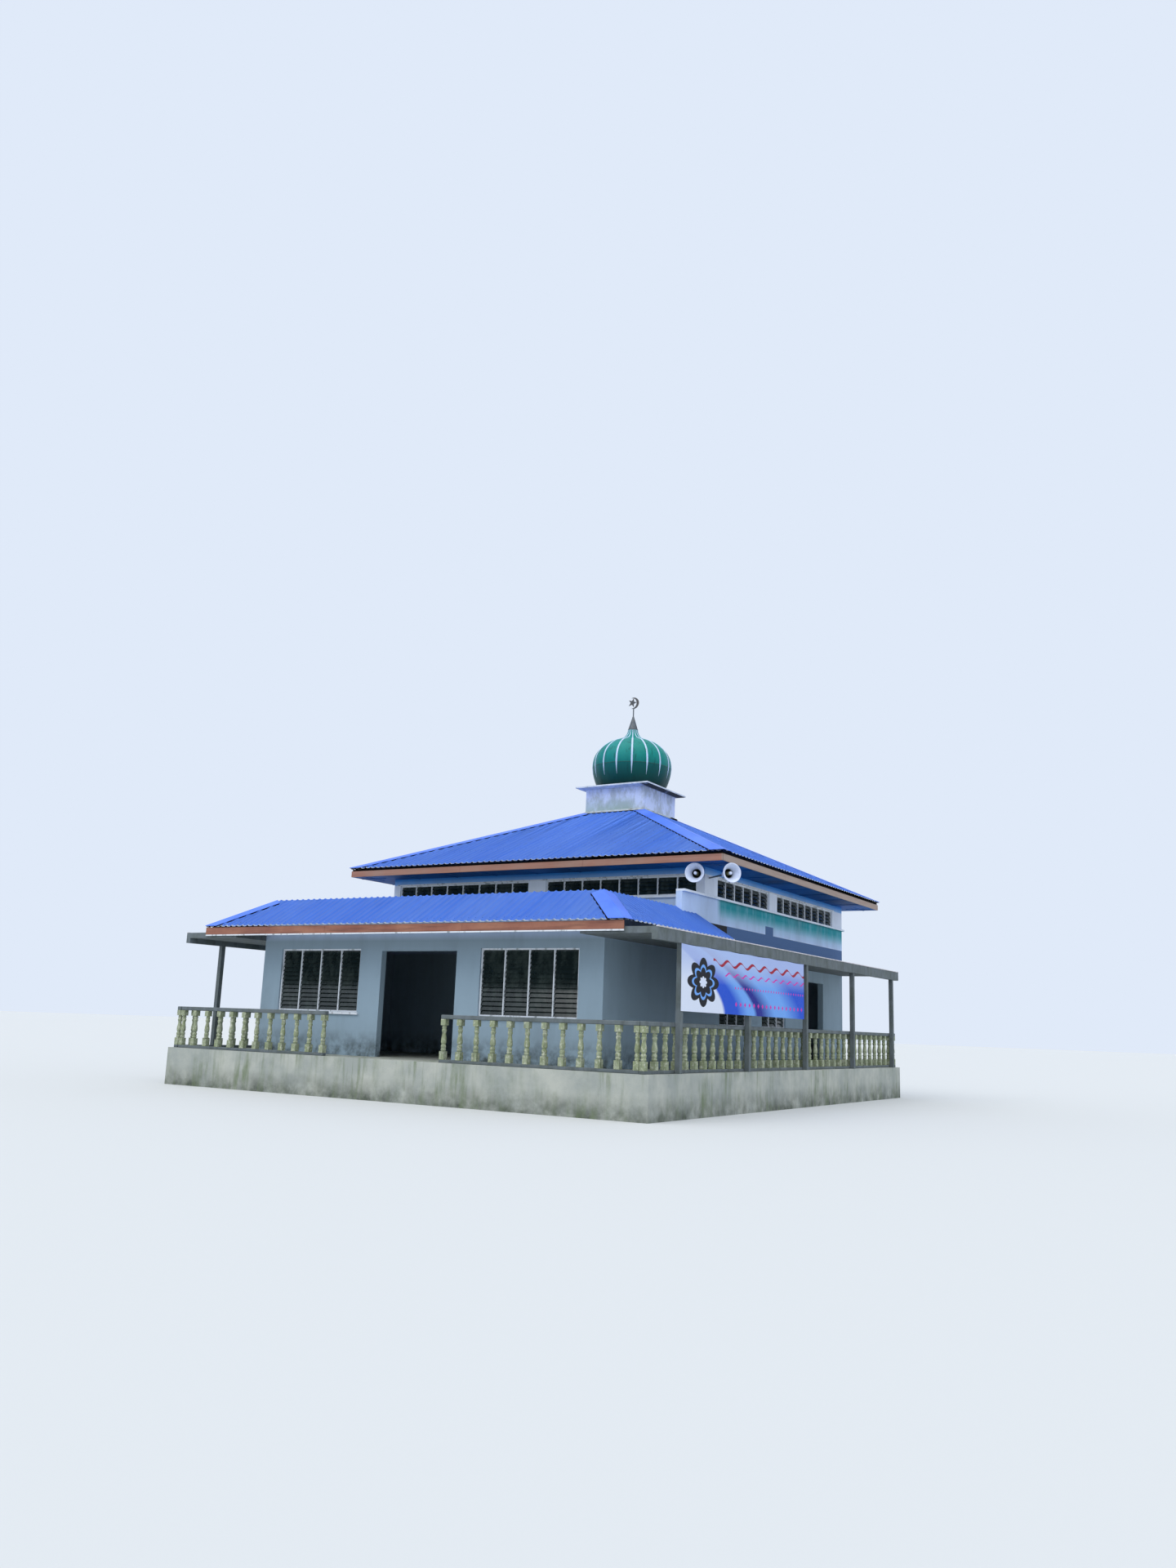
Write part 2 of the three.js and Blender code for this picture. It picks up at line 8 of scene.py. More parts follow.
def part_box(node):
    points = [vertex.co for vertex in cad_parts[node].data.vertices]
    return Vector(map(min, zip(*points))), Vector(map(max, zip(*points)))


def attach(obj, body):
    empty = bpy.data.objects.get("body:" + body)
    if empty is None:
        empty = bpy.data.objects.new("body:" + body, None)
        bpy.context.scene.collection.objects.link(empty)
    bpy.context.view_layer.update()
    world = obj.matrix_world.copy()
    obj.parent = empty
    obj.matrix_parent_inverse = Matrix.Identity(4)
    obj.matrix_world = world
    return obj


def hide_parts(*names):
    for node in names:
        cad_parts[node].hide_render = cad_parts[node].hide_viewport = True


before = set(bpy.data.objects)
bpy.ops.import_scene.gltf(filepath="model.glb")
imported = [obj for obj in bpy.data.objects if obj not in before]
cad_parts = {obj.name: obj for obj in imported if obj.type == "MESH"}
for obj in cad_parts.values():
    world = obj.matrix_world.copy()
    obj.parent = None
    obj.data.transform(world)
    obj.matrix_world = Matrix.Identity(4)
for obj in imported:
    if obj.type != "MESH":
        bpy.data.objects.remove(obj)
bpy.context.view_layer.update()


# Camera, floor and light
# The camera stands where the photograph was taken from, at the height of a standing person, tilted
# up and slightly off level. Floor and sky are plain and pale, and the light is broad and soft.
CAMERA_PLACE = (15.93, -28.18, 1.55)
CAMERA_TURNS = (("Z", 31.63), ("X", 90 + 11.67), ("Z", 2.08))
CAMERA_LENS = 27.1
FLOOR_REACH = 400.0
FLOOR_COLOUR = "#C6C9CA"
SKY_COLOUR = "#E0EAF9"
SKY_STRENGTH = 1.0
SUN_COLOUR = "#FFFBF4"
SUN_STRENGTH = 2.1
SUN_WIDTH = 80
SUN_TURNS = (("Z", 5), ("X", 24))


def colour(code):
    """An sRGB hex value as linear red, green, blue and alpha."""
    parts = [int(code[i : i + 2], 16) / 255 for i in (1, 3, 5)]
    linear = [p / 12.92 if p <= 0.04045 else ((p + 0.055) / 1.055) ** 2.4 for p in parts]
    return (*linear, 1.0)


def turned_by(turns):
    """One rotation from a list of axis and degrees, the outermost first."""
    whole = Matrix.Identity(4)
    for axis, degrees in turns:
        whole = whole @ Matrix.Rotation(math.radians(degrees), 4, axis)
    return whole


def add_node(tree, kind, inputs=None, **settings):
    """Adds one node with its settings, its values and the links that lead into it."""
    made = tree.nodes.new(kind)
    for name, value in settings.items():
        setattr(made, name, value)
    for socket, value in (inputs or {}).items():
        if isinstance(value, bpy.types.NodeSocket):
            tree.links.new(value, made.inputs[socket])
        else:
            made.inputs[socket].default_value = value
    return made


def new_material(name, roughness, metallic=0.0):
    """A material with its own tree, its shader, and the place on the object in metres."""
    material = bpy.data.materials.new(name)
    material.use_nodes = True
    tree = material.node_tree
    shader = tree.nodes["Principled BSDF"]
    shader.inputs["Roughness"].default_value = roughness
    shader.inputs["Metallic"].default_value = metallic
    place = add_node(tree, "ShaderNodeTexCoord").outputs["Object"]
    return material, tree, shader, place


def link_up(thing):
    """Puts an object into the scene."""
    bpy.context.scene.collection.objects.link(thing)
    return thing


camera = link_up(bpy.data.objects.new("camera", bpy.data.cameras.new("camera")))
camera.data.lens = CAMERA_LENS
camera.matrix_world = Matrix.Translation(CAMERA_PLACE) @ turned_by(CAMERA_TURNS)
bpy.context.scene.camera = camera

sun = link_up(bpy.data.objects.new("sun", bpy.data.lights.new("sun", "SUN")))
sun.data.energy = SUN_STRENGTH
sun.data.angle = math.radians(SUN_WIDTH)
sun.data.color = colour(SUN_COLOUR)[:3]
sun.matrix_world = turned_by(SUN_TURNS)

sky = bpy.data.worlds.new("sky")
sky.use_nodes = True
sky.node_tree.nodes["Background"].inputs["Color"].default_value = colour(SKY_COLOUR)
sky.node_tree.nodes["Background"].inputs["Strength"].default_value = SKY_STRENGTH
bpy.context.scene.world = sky
bpy.context.scene.view_settings.view_transform = "Standard"

floor_mesh = bpy.data.meshes.new("floor")
square_corners = [(-1, -1), (1, -1), (1, 1), (-1, 1)]
floor_mesh.from_pydata([(x * FLOOR_REACH, y * FLOOR_REACH, 0) for x, y in square_corners], [], [(0, 1, 2, 3)])
floor = link_up(bpy.data.objects.new("floor", floor_mesh))
# Plain matt paper, which shows the building's own soft shadow and nothing else.
floor_paper, _, floor_shader, _ = new_material("pale_floor", roughness=0.9)
floor_shader.inputs["Base Color"].default_value = colour(FLOOR_COLOUR)
floor.data.materials.append(floor_paper)


# Raised floor
# Brick filled and floated over with sand cement, with rain splash, moss and tide marks that darken
# it towards the ground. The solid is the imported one, and its finish is worn cement.
CEMENT = "#9AA09B"
CEMENT_PALE = "#B4B7AE"
CEMENT_DAMP = "#4E554C"
CEMENT_MOSS = "#6C7A5C"
SPLASH_HEAD = 0.45
SPLASH_FOOT = 0.05


def blotches(tree, place, size_mm, edge, soft=0.12, stretch=(1.0, 1.0, 1.0), most=1.0, within=None):
    """Where a stain lies: patches of about that size, made longer along an axis by a stretch under 1.
    edge says how rare they are, from 0.3, nearly everywhere, to 0.7, nearly nowhere."""
    mapped = add_node(tree, "ShaderNodeMapping", {"Vector": place, "Scale": stretch})
    cloud = {"Vector": mapped.outputs[0], "Scale": 1000 / size_mm, "Detail": 6.0, "Roughness": 0.62}
    value = add_node(tree, "ShaderNodeTexNoise", cloud).outputs[0]
    limits = {"Value": value, "From Min": edge - soft, "From Max": edge + soft, "To Max": most}
    found = add_node(tree, "ShaderNodeMapRange", limits).outputs[0]
    if within is None:
        return found
    return add_node(tree, "ShaderNodeMath", {0: found, 1: within}, operation="MULTIPLY").outputs[0]


def along_axis(tree, place, axis, start, end, most=1.0, within=None):
    """A mask that is 0 at the start level and full at the end level along X, Y or Z."""
    level = add_node(tree, "ShaderNodeSeparateXYZ", {0: place}).outputs[axis]
    limits = {"Value": level, "From Min": start, "From Max": end, "To Max": most}
    found = add_node(tree, "ShaderNodeMapRange", limits).outputs[0]
    if within is None:
        return found
    return add_node(tree, "ShaderNodeMath", {0: found, 1: within}, operation="MULTIPLY").outputs[0]


def coats(tree, shader, first, *over):
    """The colour of a surface: a first coat, and others laid over it, each where its mask says."""
    result = colour(first)
    for where, code in over:
        layers = {0: where, 6: result, 7: colour(code)}
        result = add_node(tree, "ShaderNodeMix", layers, data_type="RGBA").outputs[2]
    tree.links.new(result, shader.inputs["Base Color"])


def roughened(tree, shader, place, grain_mm, depth_mm):
    """Bump of a real grain and depth, in millimetres."""
    grain = {"Vector": place, "Scale": 1000 / grain_mm, "Detail": 5.0, "Roughness": 0.6}
    height = add_node(tree, "ShaderNodeTexNoise", grain).outputs[0]
    bump = add_node(tree, "ShaderNodeBump", {"Height": height, "Distance": depth_mm / 1000})
    tree.links.new(bump.outputs[0], shader.inputs["Normal"])


def dress(material, slot, *nodes):
    """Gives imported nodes, whose shape is right as it is, their finish."""
    for name in nodes:
        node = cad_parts[name]
        node.data.materials.clear()
        node.data.materials.append(material)


# Sand cement floated by hand: matt and sandy, so only damp and moss break the even light on it.
cement, tree, shader, place = new_material("floated_cement", roughness=0.9)
splash = along_axis(tree, place, "Z", SPLASH_HEAD, SPLASH_FOOT)
moss_runs = blotches(tree, place, 160, 0.55, soft=0.1, stretch=(1.0, 1.0, 0.12))
coats(
    tree, shader, CEMENT,
    (blotches(tree, place, 900, 0.5), CEMENT_PALE),
    (blotches(tree, place, 350, 0.46, soft=0.2, within=splash), CEMENT_DAMP),
    (blotches(tree, place, 1400, 0.5, within=moss_runs), CEMENT_MOSS),
)
roughened(tree, shader, place, grain_mm=25, depth_mm=3)
dress(cement, "plinth", "plinth")


# Walls
# Plastered brick under emulsion paint: white piers between the high windows, pale blue above and
# below them, and a teal band under the ledge that fades downwards. Above the windows the blue
# deepens towards the ceiling, which is painted shade under the eaves. The strip behind the side
# roofs was never painted: it is black near the porch and bare blue-grey plaster beyond.
WALL_LOW = "#93A9B8"
WALL_PALE = "#C0D6F8"
WALL_HIGH = "#A0CEFA"
EAVE_SHADE_BLUE = "#2E84D4"
PIER_WHITE = "#E6EEFA"
TEAL = "#00929E"
TEAL_THIN = "#74BCCC"
BARE_GREY = "#4A6A98"
GRIME = "#5C6670"
MOULD = "#39423F"
BLACK_NEAR_PORCH = "#15181B"
LEDGE = 0.06
SILL_LEVEL = 4.55
LEDGE_FOOT = 4.5
HEAD_LEVEL = 5.0
PAINT_EDGE = 0.01
TEAL_START = -3.85
TEAL_FADE_IN = 0.25
TEAL_HEAD = 4.36
TEAL_FOOT = 4.1
THIN_TEAL_HEAD = 4.3
THIN_TEAL_FOOT = 3.98
PAINT_FOOT = 3.94
BARE_START = -3.3
PATCH_START = -1.06
PATCH_END = -0.55
PATCH_HEAD = 4.15
EAVE_SHADE_TOP = 5.14
WING_FRONT = -5.6
LOW_PAINT_FADE = 0.15
WALL_SPLASH = 0.55
CANOPY_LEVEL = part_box("right_canopy")[1].z
FLOOR_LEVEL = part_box("plinth")[1].z
hall_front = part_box("hall_front_wall")[0].y + LEDGE

# Emulsion brushed on plaster: flat and slightly chalky, with the trowel's waves under it.
emulsion, tree, shader, place = new_material("weathered_emulsion", roughness=0.82)
teal_start = along_axis(tree, place, "Y", TEAL_START, TEAL_START + TEAL_FADE_IN)
drips = blotches(tree, place, 190, 0.3, soft=0.25, stretch=(1.0, 1.0, 0.3), within=teal_start)
teal_band = along_axis(tree, place, "Z", TEAL_FOOT, TEAL_HEAD, within=drips)
thin_band = along_axis(tree, place, "Z", THIN_TEAL_FOOT, THIN_TEAL_HEAD, most=0.8, within=teal_start)
rain_parts = blotches(tree, place, 1300, 0.48, soft=0.15)
splash = along_axis(tree, place, "Z", FLOOR_LEVEL + WALL_SPLASH, FLOOR_LEVEL)
out_of_hall = add_node(tree, "ShaderNodeSeparateXYZ", {0: place}).outputs["X"]
out_of_hall = add_node(tree, "ShaderNodeMath", {0: out_of_hall}, operation="ABSOLUTE").outputs[0]
side_face = -hall_front - PAINT_EDGE
on_side = {"Value": out_of_hall, "From Min": side_face - PAINT_EDGE, "From Max": side_face}
on_side = add_node(tree, "ShaderNodeMapRange", on_side).outputs[0]
above_canopy = along_axis(tree, place, "Z", CANOPY_LEVEL - PAINT_EDGE, CANOPY_LEVEL, within=on_side)
unpainted = along_axis(tree, place, "Z", PAINT_FOOT + PAINT_EDGE, PAINT_FOOT, within=above_canopy)
behind_porch = along_axis(tree, place, "Y", WING_FRONT, WING_FRONT + PAINT_EDGE, within=unpainted)
bare = along_axis(tree, place, "Y", BARE_START, BARE_START + PAINT_EDGE, within=behind_porch)
patch = along_axis(tree, place, "Z", PATCH_HEAD + PAINT_EDGE, PATCH_HEAD, within=above_canopy)
patch = along_axis(tree, place, "Y", PATCH_START, PATCH_START + PAINT_EDGE, within=patch)
patch = along_axis(tree, place, "Y", PATCH_END, PATCH_END - PAINT_EDGE, within=patch)
rain = blotches(tree, place, 420, 0.56, soft=0.15, stretch=(1.0, 1.0, 0.2), most=0.3, within=rain_parts)
coats(
    tree, shader, WALL_LOW,
    (along_axis(tree, place, "Z", CANOPY_LEVEL - LOW_PAINT_FADE, CANOPY_LEVEL), WALL_PALE),
    (thin_band, TEAL_THIN),
    (teal_band, TEAL),
    (along_axis(tree, place, "Z", LEDGE_FOOT, LEDGE_FOOT + PAINT_EDGE), PIER_WHITE),
    (along_axis(tree, place, "Z", HEAD_LEVEL, HEAD_LEVEL + 2 * PAINT_EDGE), WALL_HIGH),
    # Painted shade: from the window heads up to the ceiling the wall deepens to dark blue.
    (along_axis(tree, place, "Z", HEAD_LEVEL, EAVE_SHADE_TOP), EAVE_SHADE_BLUE),
    (rain, GRIME),
    (blotches(tree, place, 240, 0.5, soft=0.12, within=splash), MOULD),
    # Black on the unpainted strip from the wing's front back to where the bare plaster starts.
    (behind_porch, BLACK_NEAR_PORCH),
    (bare, BARE_GREY),
    (patch, BARE_GREY),
)
roughened(tree, shader, place, grain_mm=40, depth_mm=2)
dress(emulsion, "upper_wall", "right_wall", "left_wall", "hall_front_wall", "back_wall")
dress(emulsion, "lower_wall", "porch_front_wall")


# Window frames
# Planed timber in white gloss paint, set in every window opening: a frame round the edge and upright
# bars between the bays. A drip strip runs over the high windows and a sill under the low ones.
FRAME_FACE = 0.035
FRAME_DEPTH = 0.07
FRAME_SET_BACK = 0.03
BAR_FACE = 0.03
WALL_GAP = 0.002
EDGE_ROUNDING = 0.004
FRAME_WHITE = "#DDE3EA"
FRAME_GREY = "#8F979B"
CROSS_HIGH_WINDOWS = ((-4.29, -0.25, 8), (0.25, 4.29, 8))
RIGHT_HIGH_WINDOWS = ((-3.825, -0.809, 6), (-0.312, 3.712, 8))
LEFT_HIGH_WINDOWS = ((-3.712, 0.312, 8), (0.809, 3.825, 6))
LOW_SILL = 1.7
LOW_HEAD = 2.9
LOW_HALF = 0.75
LOW_BAYS = 3
LOW_MIDDLES = {"right": (-2.9, -0.5), "left": (0.5, 2.9), "back": (-2.0, 2.0)}
PORCH_HEAD = 3.05
PORCH_HALF = 1.17
PORCH_BAYS = 4
PORCH_MIDDLES = (-2.77, 2.77)
DRIP = 0.028
DRIP_PAST = 0.08
SILL_REACH = 0.05
SILL_THICK = 0.05
SIDES = ("front", "right", "back", "left")
wall_faces = {
    "front": (Vector((0, hall_front, 0)), 0),
    "right": (Vector((-hall_front, 0, 0)), 90),
    "back": (Vector((0, -hall_front, 0)), 180),
    "left": (Vector((hall_front, 0, 0)), 270),
    "porch": (Vector((0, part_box("porch_front_wall")[0].y, 0)), 0),
}


def wall_space(side):
    """A matrix from a wall's own space, x along it, -y outwards and z up, to the building's."""
    origin, degrees = wall_faces[side]
    return Matrix.Translation(origin) @ Matrix.Rotation(math.radians(degrees), 4, "Z")


def add_board(mesh, low, high, space=Matrix.Identity(4), rounding=EDGE_ROUNDING):
    """A board with eased edges between two corners, added to a mesh under construction."""
    low, high = Vector(low), Vector(high)
    size = Matrix.Diagonal((*(high - low), 1.0))
    placed = space @ Matrix.Translation((low + high) / 2) @ size
    corners = bmesh.ops.create_cube(mesh, size=1.0, matrix=placed)["verts"]
    edges = list({edge for corner in corners for edge in corner.link_edges})
    bmesh.ops.bevel(mesh, geom=edges, offset=rounding, segments=1, affect="EDGES")


def finished(name, mesh, material, slot, *stands_for, smooth=False):
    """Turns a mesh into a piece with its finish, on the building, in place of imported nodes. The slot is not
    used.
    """
    data = mesh
    if isinstance(mesh, bmesh.types.BMesh):
        data = bpy.data.meshes.new(name)
        mesh.to_mesh(data)
        mesh.free()
    if smooth:
        data.shade_smooth()
    else:
        data.shade_flat()
    data.materials.clear()
    data.materials.append(material)
    piece = link_up(bpy.data.objects.new(name, data))
    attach(piece, "root")
    if stands_for:
        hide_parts(*stands_for)
    return piece


def add_window(mesh, space, left, right, low, high, bays):
    """Frame and upright bars of one window. Returns the middle of each bay's foot."""
    near, far = FRAME_SET_BACK, FRAME_SET_BACK + FRAME_DEPTH
    add_board(mesh, (left, near, low), (left + FRAME_FACE, far, high), space)
    add_board(mesh, (right - FRAME_FACE, near, low), (right, far, high), space)
    for level in (low, high - FRAME_FACE):
        ends = (left + FRAME_FACE, near, level), (right - FRAME_FACE, far, level + FRAME_FACE)
        add_board(mesh, *ends, space)
    bay = (right - left) / bays
    for i in range(1, bays):
        middle = left + i * bay
        foot, head = low + FRAME_FACE, high - FRAME_FACE
        add_board(mesh, (middle - BAR_FACE / 2, near, foot), (middle + BAR_FACE / 2, far, head), space)
    return [(left + (i + 0.5) * bay, (near + far) / 2, low) for i in range(bays)]


# Oil gloss brushed on planed timber: smooth and bright, with grey where the wood shows through.
gloss, tree, shader, place = new_material("white_gloss_on_timber", roughness=0.35)
coats(
    tree, shader, FRAME_WHITE,
    (blotches(tree, place, 120, 0.6, soft=0.06, stretch=(1.0, 1.0, 0.25)), FRAME_GREY),
)
roughened(tree, shader, place, grain_mm=15, depth_mm=0.8)
high_rows = dict(zip(SIDES, (CROSS_HIGH_WINDOWS, RIGHT_HIGH_WINDOWS, CROSS_HIGH_WINDOWS, LEFT_HIGH_WINDOWS)))
windows = {}
for side, rows in high_rows.items():
    windows[side] = [(left, right, SILL_LEVEL, HEAD_LEVEL, count) for left, right, count in rows]
for side, middles in LOW_MIDDLES.items():
    windows[side] += [(at - LOW_HALF, at + LOW_HALF, LOW_SILL, LOW_HEAD, LOW_BAYS) for at in middles]
windows["porch"] = [
    (at - PORCH_HALF, at + PORCH_HALF, LOW_SILL, PORCH_HEAD, PORCH_BAYS) for at in PORCH_MIDDLES
]
bays = {}
for side, rows in windows.items():
    joinery = bmesh.new()
    space = wall_space(side)
    for left, right, low, high, count in rows:
        middles = add_window(joinery, space, left, right, low, high, count)
        clear = ((right - left) / count - BAR_FACE, high - low - 2 * FRAME_FACE)
        bays.setdefault((side, clear), []).extend(middles)
        if low < SILL_LEVEL:
            ends = (left - SILL_REACH, -SILL_REACH, low - SILL_THICK), (right + SILL_REACH, -WALL_GAP, low)
            add_board(joinery, *ends, space)
    if side in high_rows:
        start, end = rows[0][0] - DRIP_PAST, rows[1][1] + DRIP_PAST
        add_board(joinery, (start, -DRIP, HEAD_LEVEL), (end, -WALL_GAP, HEAD_LEVEL + DRIP), space)
    finished(f"{side}_window_frames", joinery, gloss, "window_glass")


# Louvre blades
# Strips of dark tinted glass, one over another in each bay, almost shut, with the outer edges low so
# that rain runs off. Dust and dried rain dull them, and the plain sheets of glass behind them.
GLASS_DARK = "#1C2727"
GLASS_DUST = "#48534F"
PANE_DARK = "#1C2526"
BLADE_DEPTH = 0.1
BLADE_THICK = 0.006
BLADE_RISE = 0.092
BLADE_TILT = 68


def grown(name, tree, points, values, edges=(), **attributes):
    """The plain mesh that a node tree grows on points, with vector attributes on them if given."""
    seed = bpy.data.meshes.new(name + "_points")
    seed.from_pydata([tuple(p) for p in points], list(edges), [])
    for key, vectors in attributes.items():
        layer = seed.attributes.new(key, "FLOAT_VECTOR", "POINT")
        layer.data.foreach_set("vector", [n for vector in vectors for n in vector])
    carrier = link_up(bpy.data.objects.new(name + "_carrier", seed))
    modifier = carrier.modifiers.new("grow", "NODES")
    modifier.node_group = tree
    for item in tree.interface.items_tree:
        if item.in_out == "INPUT" and item.name in values:
            modifier[item.identifier] = values[item.name]
    depsgraph = bpy.context.evaluated_depsgraph_get()
    result = bpy.data.meshes.new_from_object(carrier.evaluated_get(depsgraph))
    carrier.modifiers.remove(modifier)
    bpy.data.objects.remove(carrier)
    result.name = name
    return result


def growing_tree(name, sizes):
    """An empty geometry tree with a mesh in, a mesh out, and a named number input for each size."""
    tree = bpy.data.node_groups.new(name, "GeometryNodeTree")
    tree.interface.new_socket("Points", in_out="INPUT", socket_type="NodeSocketGeometry")
    tree.interface.new_socket("Mesh", in_out="OUTPUT", socket_type="NodeSocketGeometry")
    for size in sizes:
        kind = "NodeSocketInt" if size == "Count" else "NodeSocketFloat"
        tree.interface.new_socket(size, in_out="INPUT", socket_type=kind)
    given = add_node(tree, "NodeGroupInput").outputs
    return tree, given


def ends_in(tree, shape, material):
    """Closes a tree: its instances are made real and get their material."""
    real = add_node(tree, "GeometryNodeRealizeInstances", {0: shape}).outputs[0]
    surfaced = add_node(tree, "GeometryNodeSetMaterial", {"Geometry": real, "Material": material})
    add_node(tree, "NodeGroupOutput", {0: surfaced.outputs[0]})


# Drawn glass, deeply tinted: a sharp dark shine, with a grey bloom of dust over parts of it.
tinted, tree, shader, place = new_material("tinted_louvre_glass", roughness=0.12)
shader.inputs["IOR"].default_value = 1.52
coats(
    tree, shader, GLASS_DARK,
    (blotches(tree, place, 180, 0.55, soft=0.1, stretch=(1.0, 1.0, 0.5), most=0.5), GLASS_DUST),
)
roughened(tree, shader, place, grain_mm=200, depth_mm=1.5)

blade_sizes = ("Length", "Depth", "Thickness", "Rise", "Tilt", "Turn", "Count")
blades, given = growing_tree("louvre_stack", blade_sizes)
size = {0: given["Length"], 1: given["Depth"], 2: given["Thickness"]}
size = add_node(blades, "ShaderNodeCombineXYZ", size).outputs[0]
strip = add_node(blades, "GeometryNodeMeshCube", {"Size": size}).outputs[0]
tilt = add_node(blades, "ShaderNodeCombineXYZ", {0: given["Tilt"]}).outputs[0]
step = add_node(blades, "ShaderNodeCombineXYZ", {2: given["Rise"]}).outputs[0]
stack = add_node(blades, "GeometryNodeMeshLine", {"Count": given["Count"], "Offset": step}).outputs[0]
shelf = {"Points": stack, "Instance": strip, "Rotation": tilt}
stacked = add_node(blades, "GeometryNodeInstanceOnPoints", shelf).outputs[0]
turn = add_node(blades, "ShaderNodeCombineXYZ", {2: given["Turn"]}).outputs[0]
each = {"Points": given["Points"], "Instance": stacked, "Rotation": turn}
ends_in(blades, add_node(blades, "GeometryNodeInstanceOnPoints", each).outputs[0], tinted)

for (side, (clear_width, clear_height)), middles in bays.items():
    count = round(clear_height / BLADE_RISE)
    rise = clear_height / count
    space = wall_space(side)
    feet = [space @ (Vector(m) + Vector((0, 0, FRAME_FACE + rise / 2))) for m in middles]
    sizes = {
        "Length": clear_width, "Depth": BLADE_DEPTH, "Thickness": BLADE_THICK, "Rise": rise,
        "Tilt": math.radians(BLADE_TILT), "Turn": math.radians(wall_faces[side][1]), "Count": count,
    }
    level = "high" if middles[0][2] > LOW_HEAD else "low"
    name = f"{side}_{level}_louvres"
    finished(name, grown(name, blades, feet, sizes), tinted, "louvre_glass")

# Float glass with a dark room behind it: black from outside, duller where dust has settled.
dusty, tree, shader, place = new_material("dusty_window_glass", roughness=0.2)
coats(
    tree, shader, PANE_DARK,
    (blotches(tree, place, 300, 0.5, soft=0.2, most=0.4), GLASS_DUST),
)
dress(dusty, "louvre_glass", *(f"{side}_clerestory_glass" for side in SIDES))
low_panes = ("right", "left", "back", "porch_left", "porch_right")
dress(dusty, "window_glass", *(f"{side}_window_glass" for side in low_panes))


# Ceiling and eave lining
# Flat cement sheets in blue paint, nailed under the roof timbers, with painted cover strips over
# the joints. The lining is the same sheet carried out over the walls to the fascia.
LINING_BLUE = "#0264BC"
LINING_DEEP = "#023A70"
LINING_PALE = "#1E74BC"
STRIP_PITCH = 1.22
STRIP_WIDTH = 0.045
STRIP_THICK = 0.01
STRIP_ROUNDING = 0.002

# Flat oil paint on cement sheet: a deep even blue that scarcely shines in the eaves' shade.
lining, tree, shader, place = new_material("blue_paint_on_cement_sheet", roughness=0.6)
coats(
    tree, shader, LINING_BLUE,
    (blotches(tree, place, 1500, 0.5, soft=0.2), LINING_DEEP),
    (blotches(tree, place, 250, 0.64, soft=0.1, most=0.4), LINING_PALE),
)
roughened(tree, shader, place, grain_mm=60, depth_mm=1)
shader.inputs["Specular IOR Level"].default_value = 0.1
dress(lining, "ceiling", "ceiling")
ceiling_low, ceiling_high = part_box("ceiling")
strips = bmesh.new()
count = int(ceiling_high.x / STRIP_PITCH)
for i in range(-count, count + 1):
    middle = i * STRIP_PITCH
    for start, end in ((ceiling_low.y, hall_front), (-hall_front, ceiling_high.y)):
        under = ceiling_low.z - STRIP_THICK
        across = (middle - STRIP_WIDTH / 2, start, under), (middle + STRIP_WIDTH / 2, end, ceiling_low.z)
        add_board(strips, *across, rounding=STRIP_ROUNDING)
        add_board(strips, *across, Matrix.Rotation(math.pi / 2, 4, "Z"), STRIP_ROUNDING)
finished("eave_lining_strips", strips, lining, "ceiling")


# Eave fascia
# Planed boards round the roof, lapped at the corners and butted along the sides, in peach gloss that
# is paler on the right, with a dark crack at each corner. They stop short of the sheets, so that
# a gap with the ends of the ribs shows over them, and black packers stand behind it: they are
# painted shadow, put where that gap is in shade.
PEACH = "#A47462"
PEACH_PALE = "#9C887C"
PEACH_DARK = "#6E3C2C"
FASCIA_BOARD = 3.55
FASCIA_THICK = 0.025
CRACK = 0.003
CORNER_CRACK = 0.012
BOARD_ROUNDING = 0.003
EAVE_GAP = 0.058
PACKER = 0.03
PACKER_DROP = 0.012
PACKER_ROUNDING = 0.002
SHADOW_BITUMEN_BLACK = "#0A0909"
BITUMEN_BROWN = "#1C1815"
RIGHT_FACE = 5.26
GRAIN = (0.06, 0.06, 1.0)

# Oil gloss on planed boards: an old shine, dark where it has crazed along the grain, chalky elsewhere.
peach, tree, shader, place = new_material("peach_gloss_on_timber", roughness=0.5)
# The right-hand face is painted paler than the front.
on_the_right = along_axis(tree, place, "X", RIGHT_FACE, RIGHT_FACE + PAINT_EDGE)
coats(
    tree, shader, PEACH,
    (on_the_right, PEACH_PALE),
    (blotches(tree, place, 60, 0.56, soft=0.12, stretch=GRAIN, most=0.35), PEACH_DARK),
    (blotches(tree, place, 700, 0.55, soft=0.15, most=0.5), PEACH_PALE),
)
roughened(tree, shader, place, grain_mm=12, depth_mm=0.8)
fascia_low, fascia_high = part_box("eave_fascia")
boards = bmesh.new()
count = round((fascia_high.x - fascia_low.x) / FASCIA_BOARD)
length = (fascia_high.x - fascia_low.x) / count
for quarter in range(4):
    space = Matrix.Rotation(quarter * math.pi / 2, 4, "Z")
    for i in range(count):
        start = fascia_low.x + i * length + CRACK / 2 + (FASCIA_THICK if i == 0 else 0)
        end = fascia_low.x + (i + 1) * length - (CORNER_CRACK if i == count - 1 else CRACK / 2)
        foot = (start, fascia_low.y, fascia_low.z)
        top = (end, fascia_low.y + FASCIA_THICK, fascia_high.z - EAVE_GAP)
        add_board(boards, foot, top, space, BOARD_ROUNDING)
finished("fascia_boards", boards, peach, "fascia", "eave_fascia")

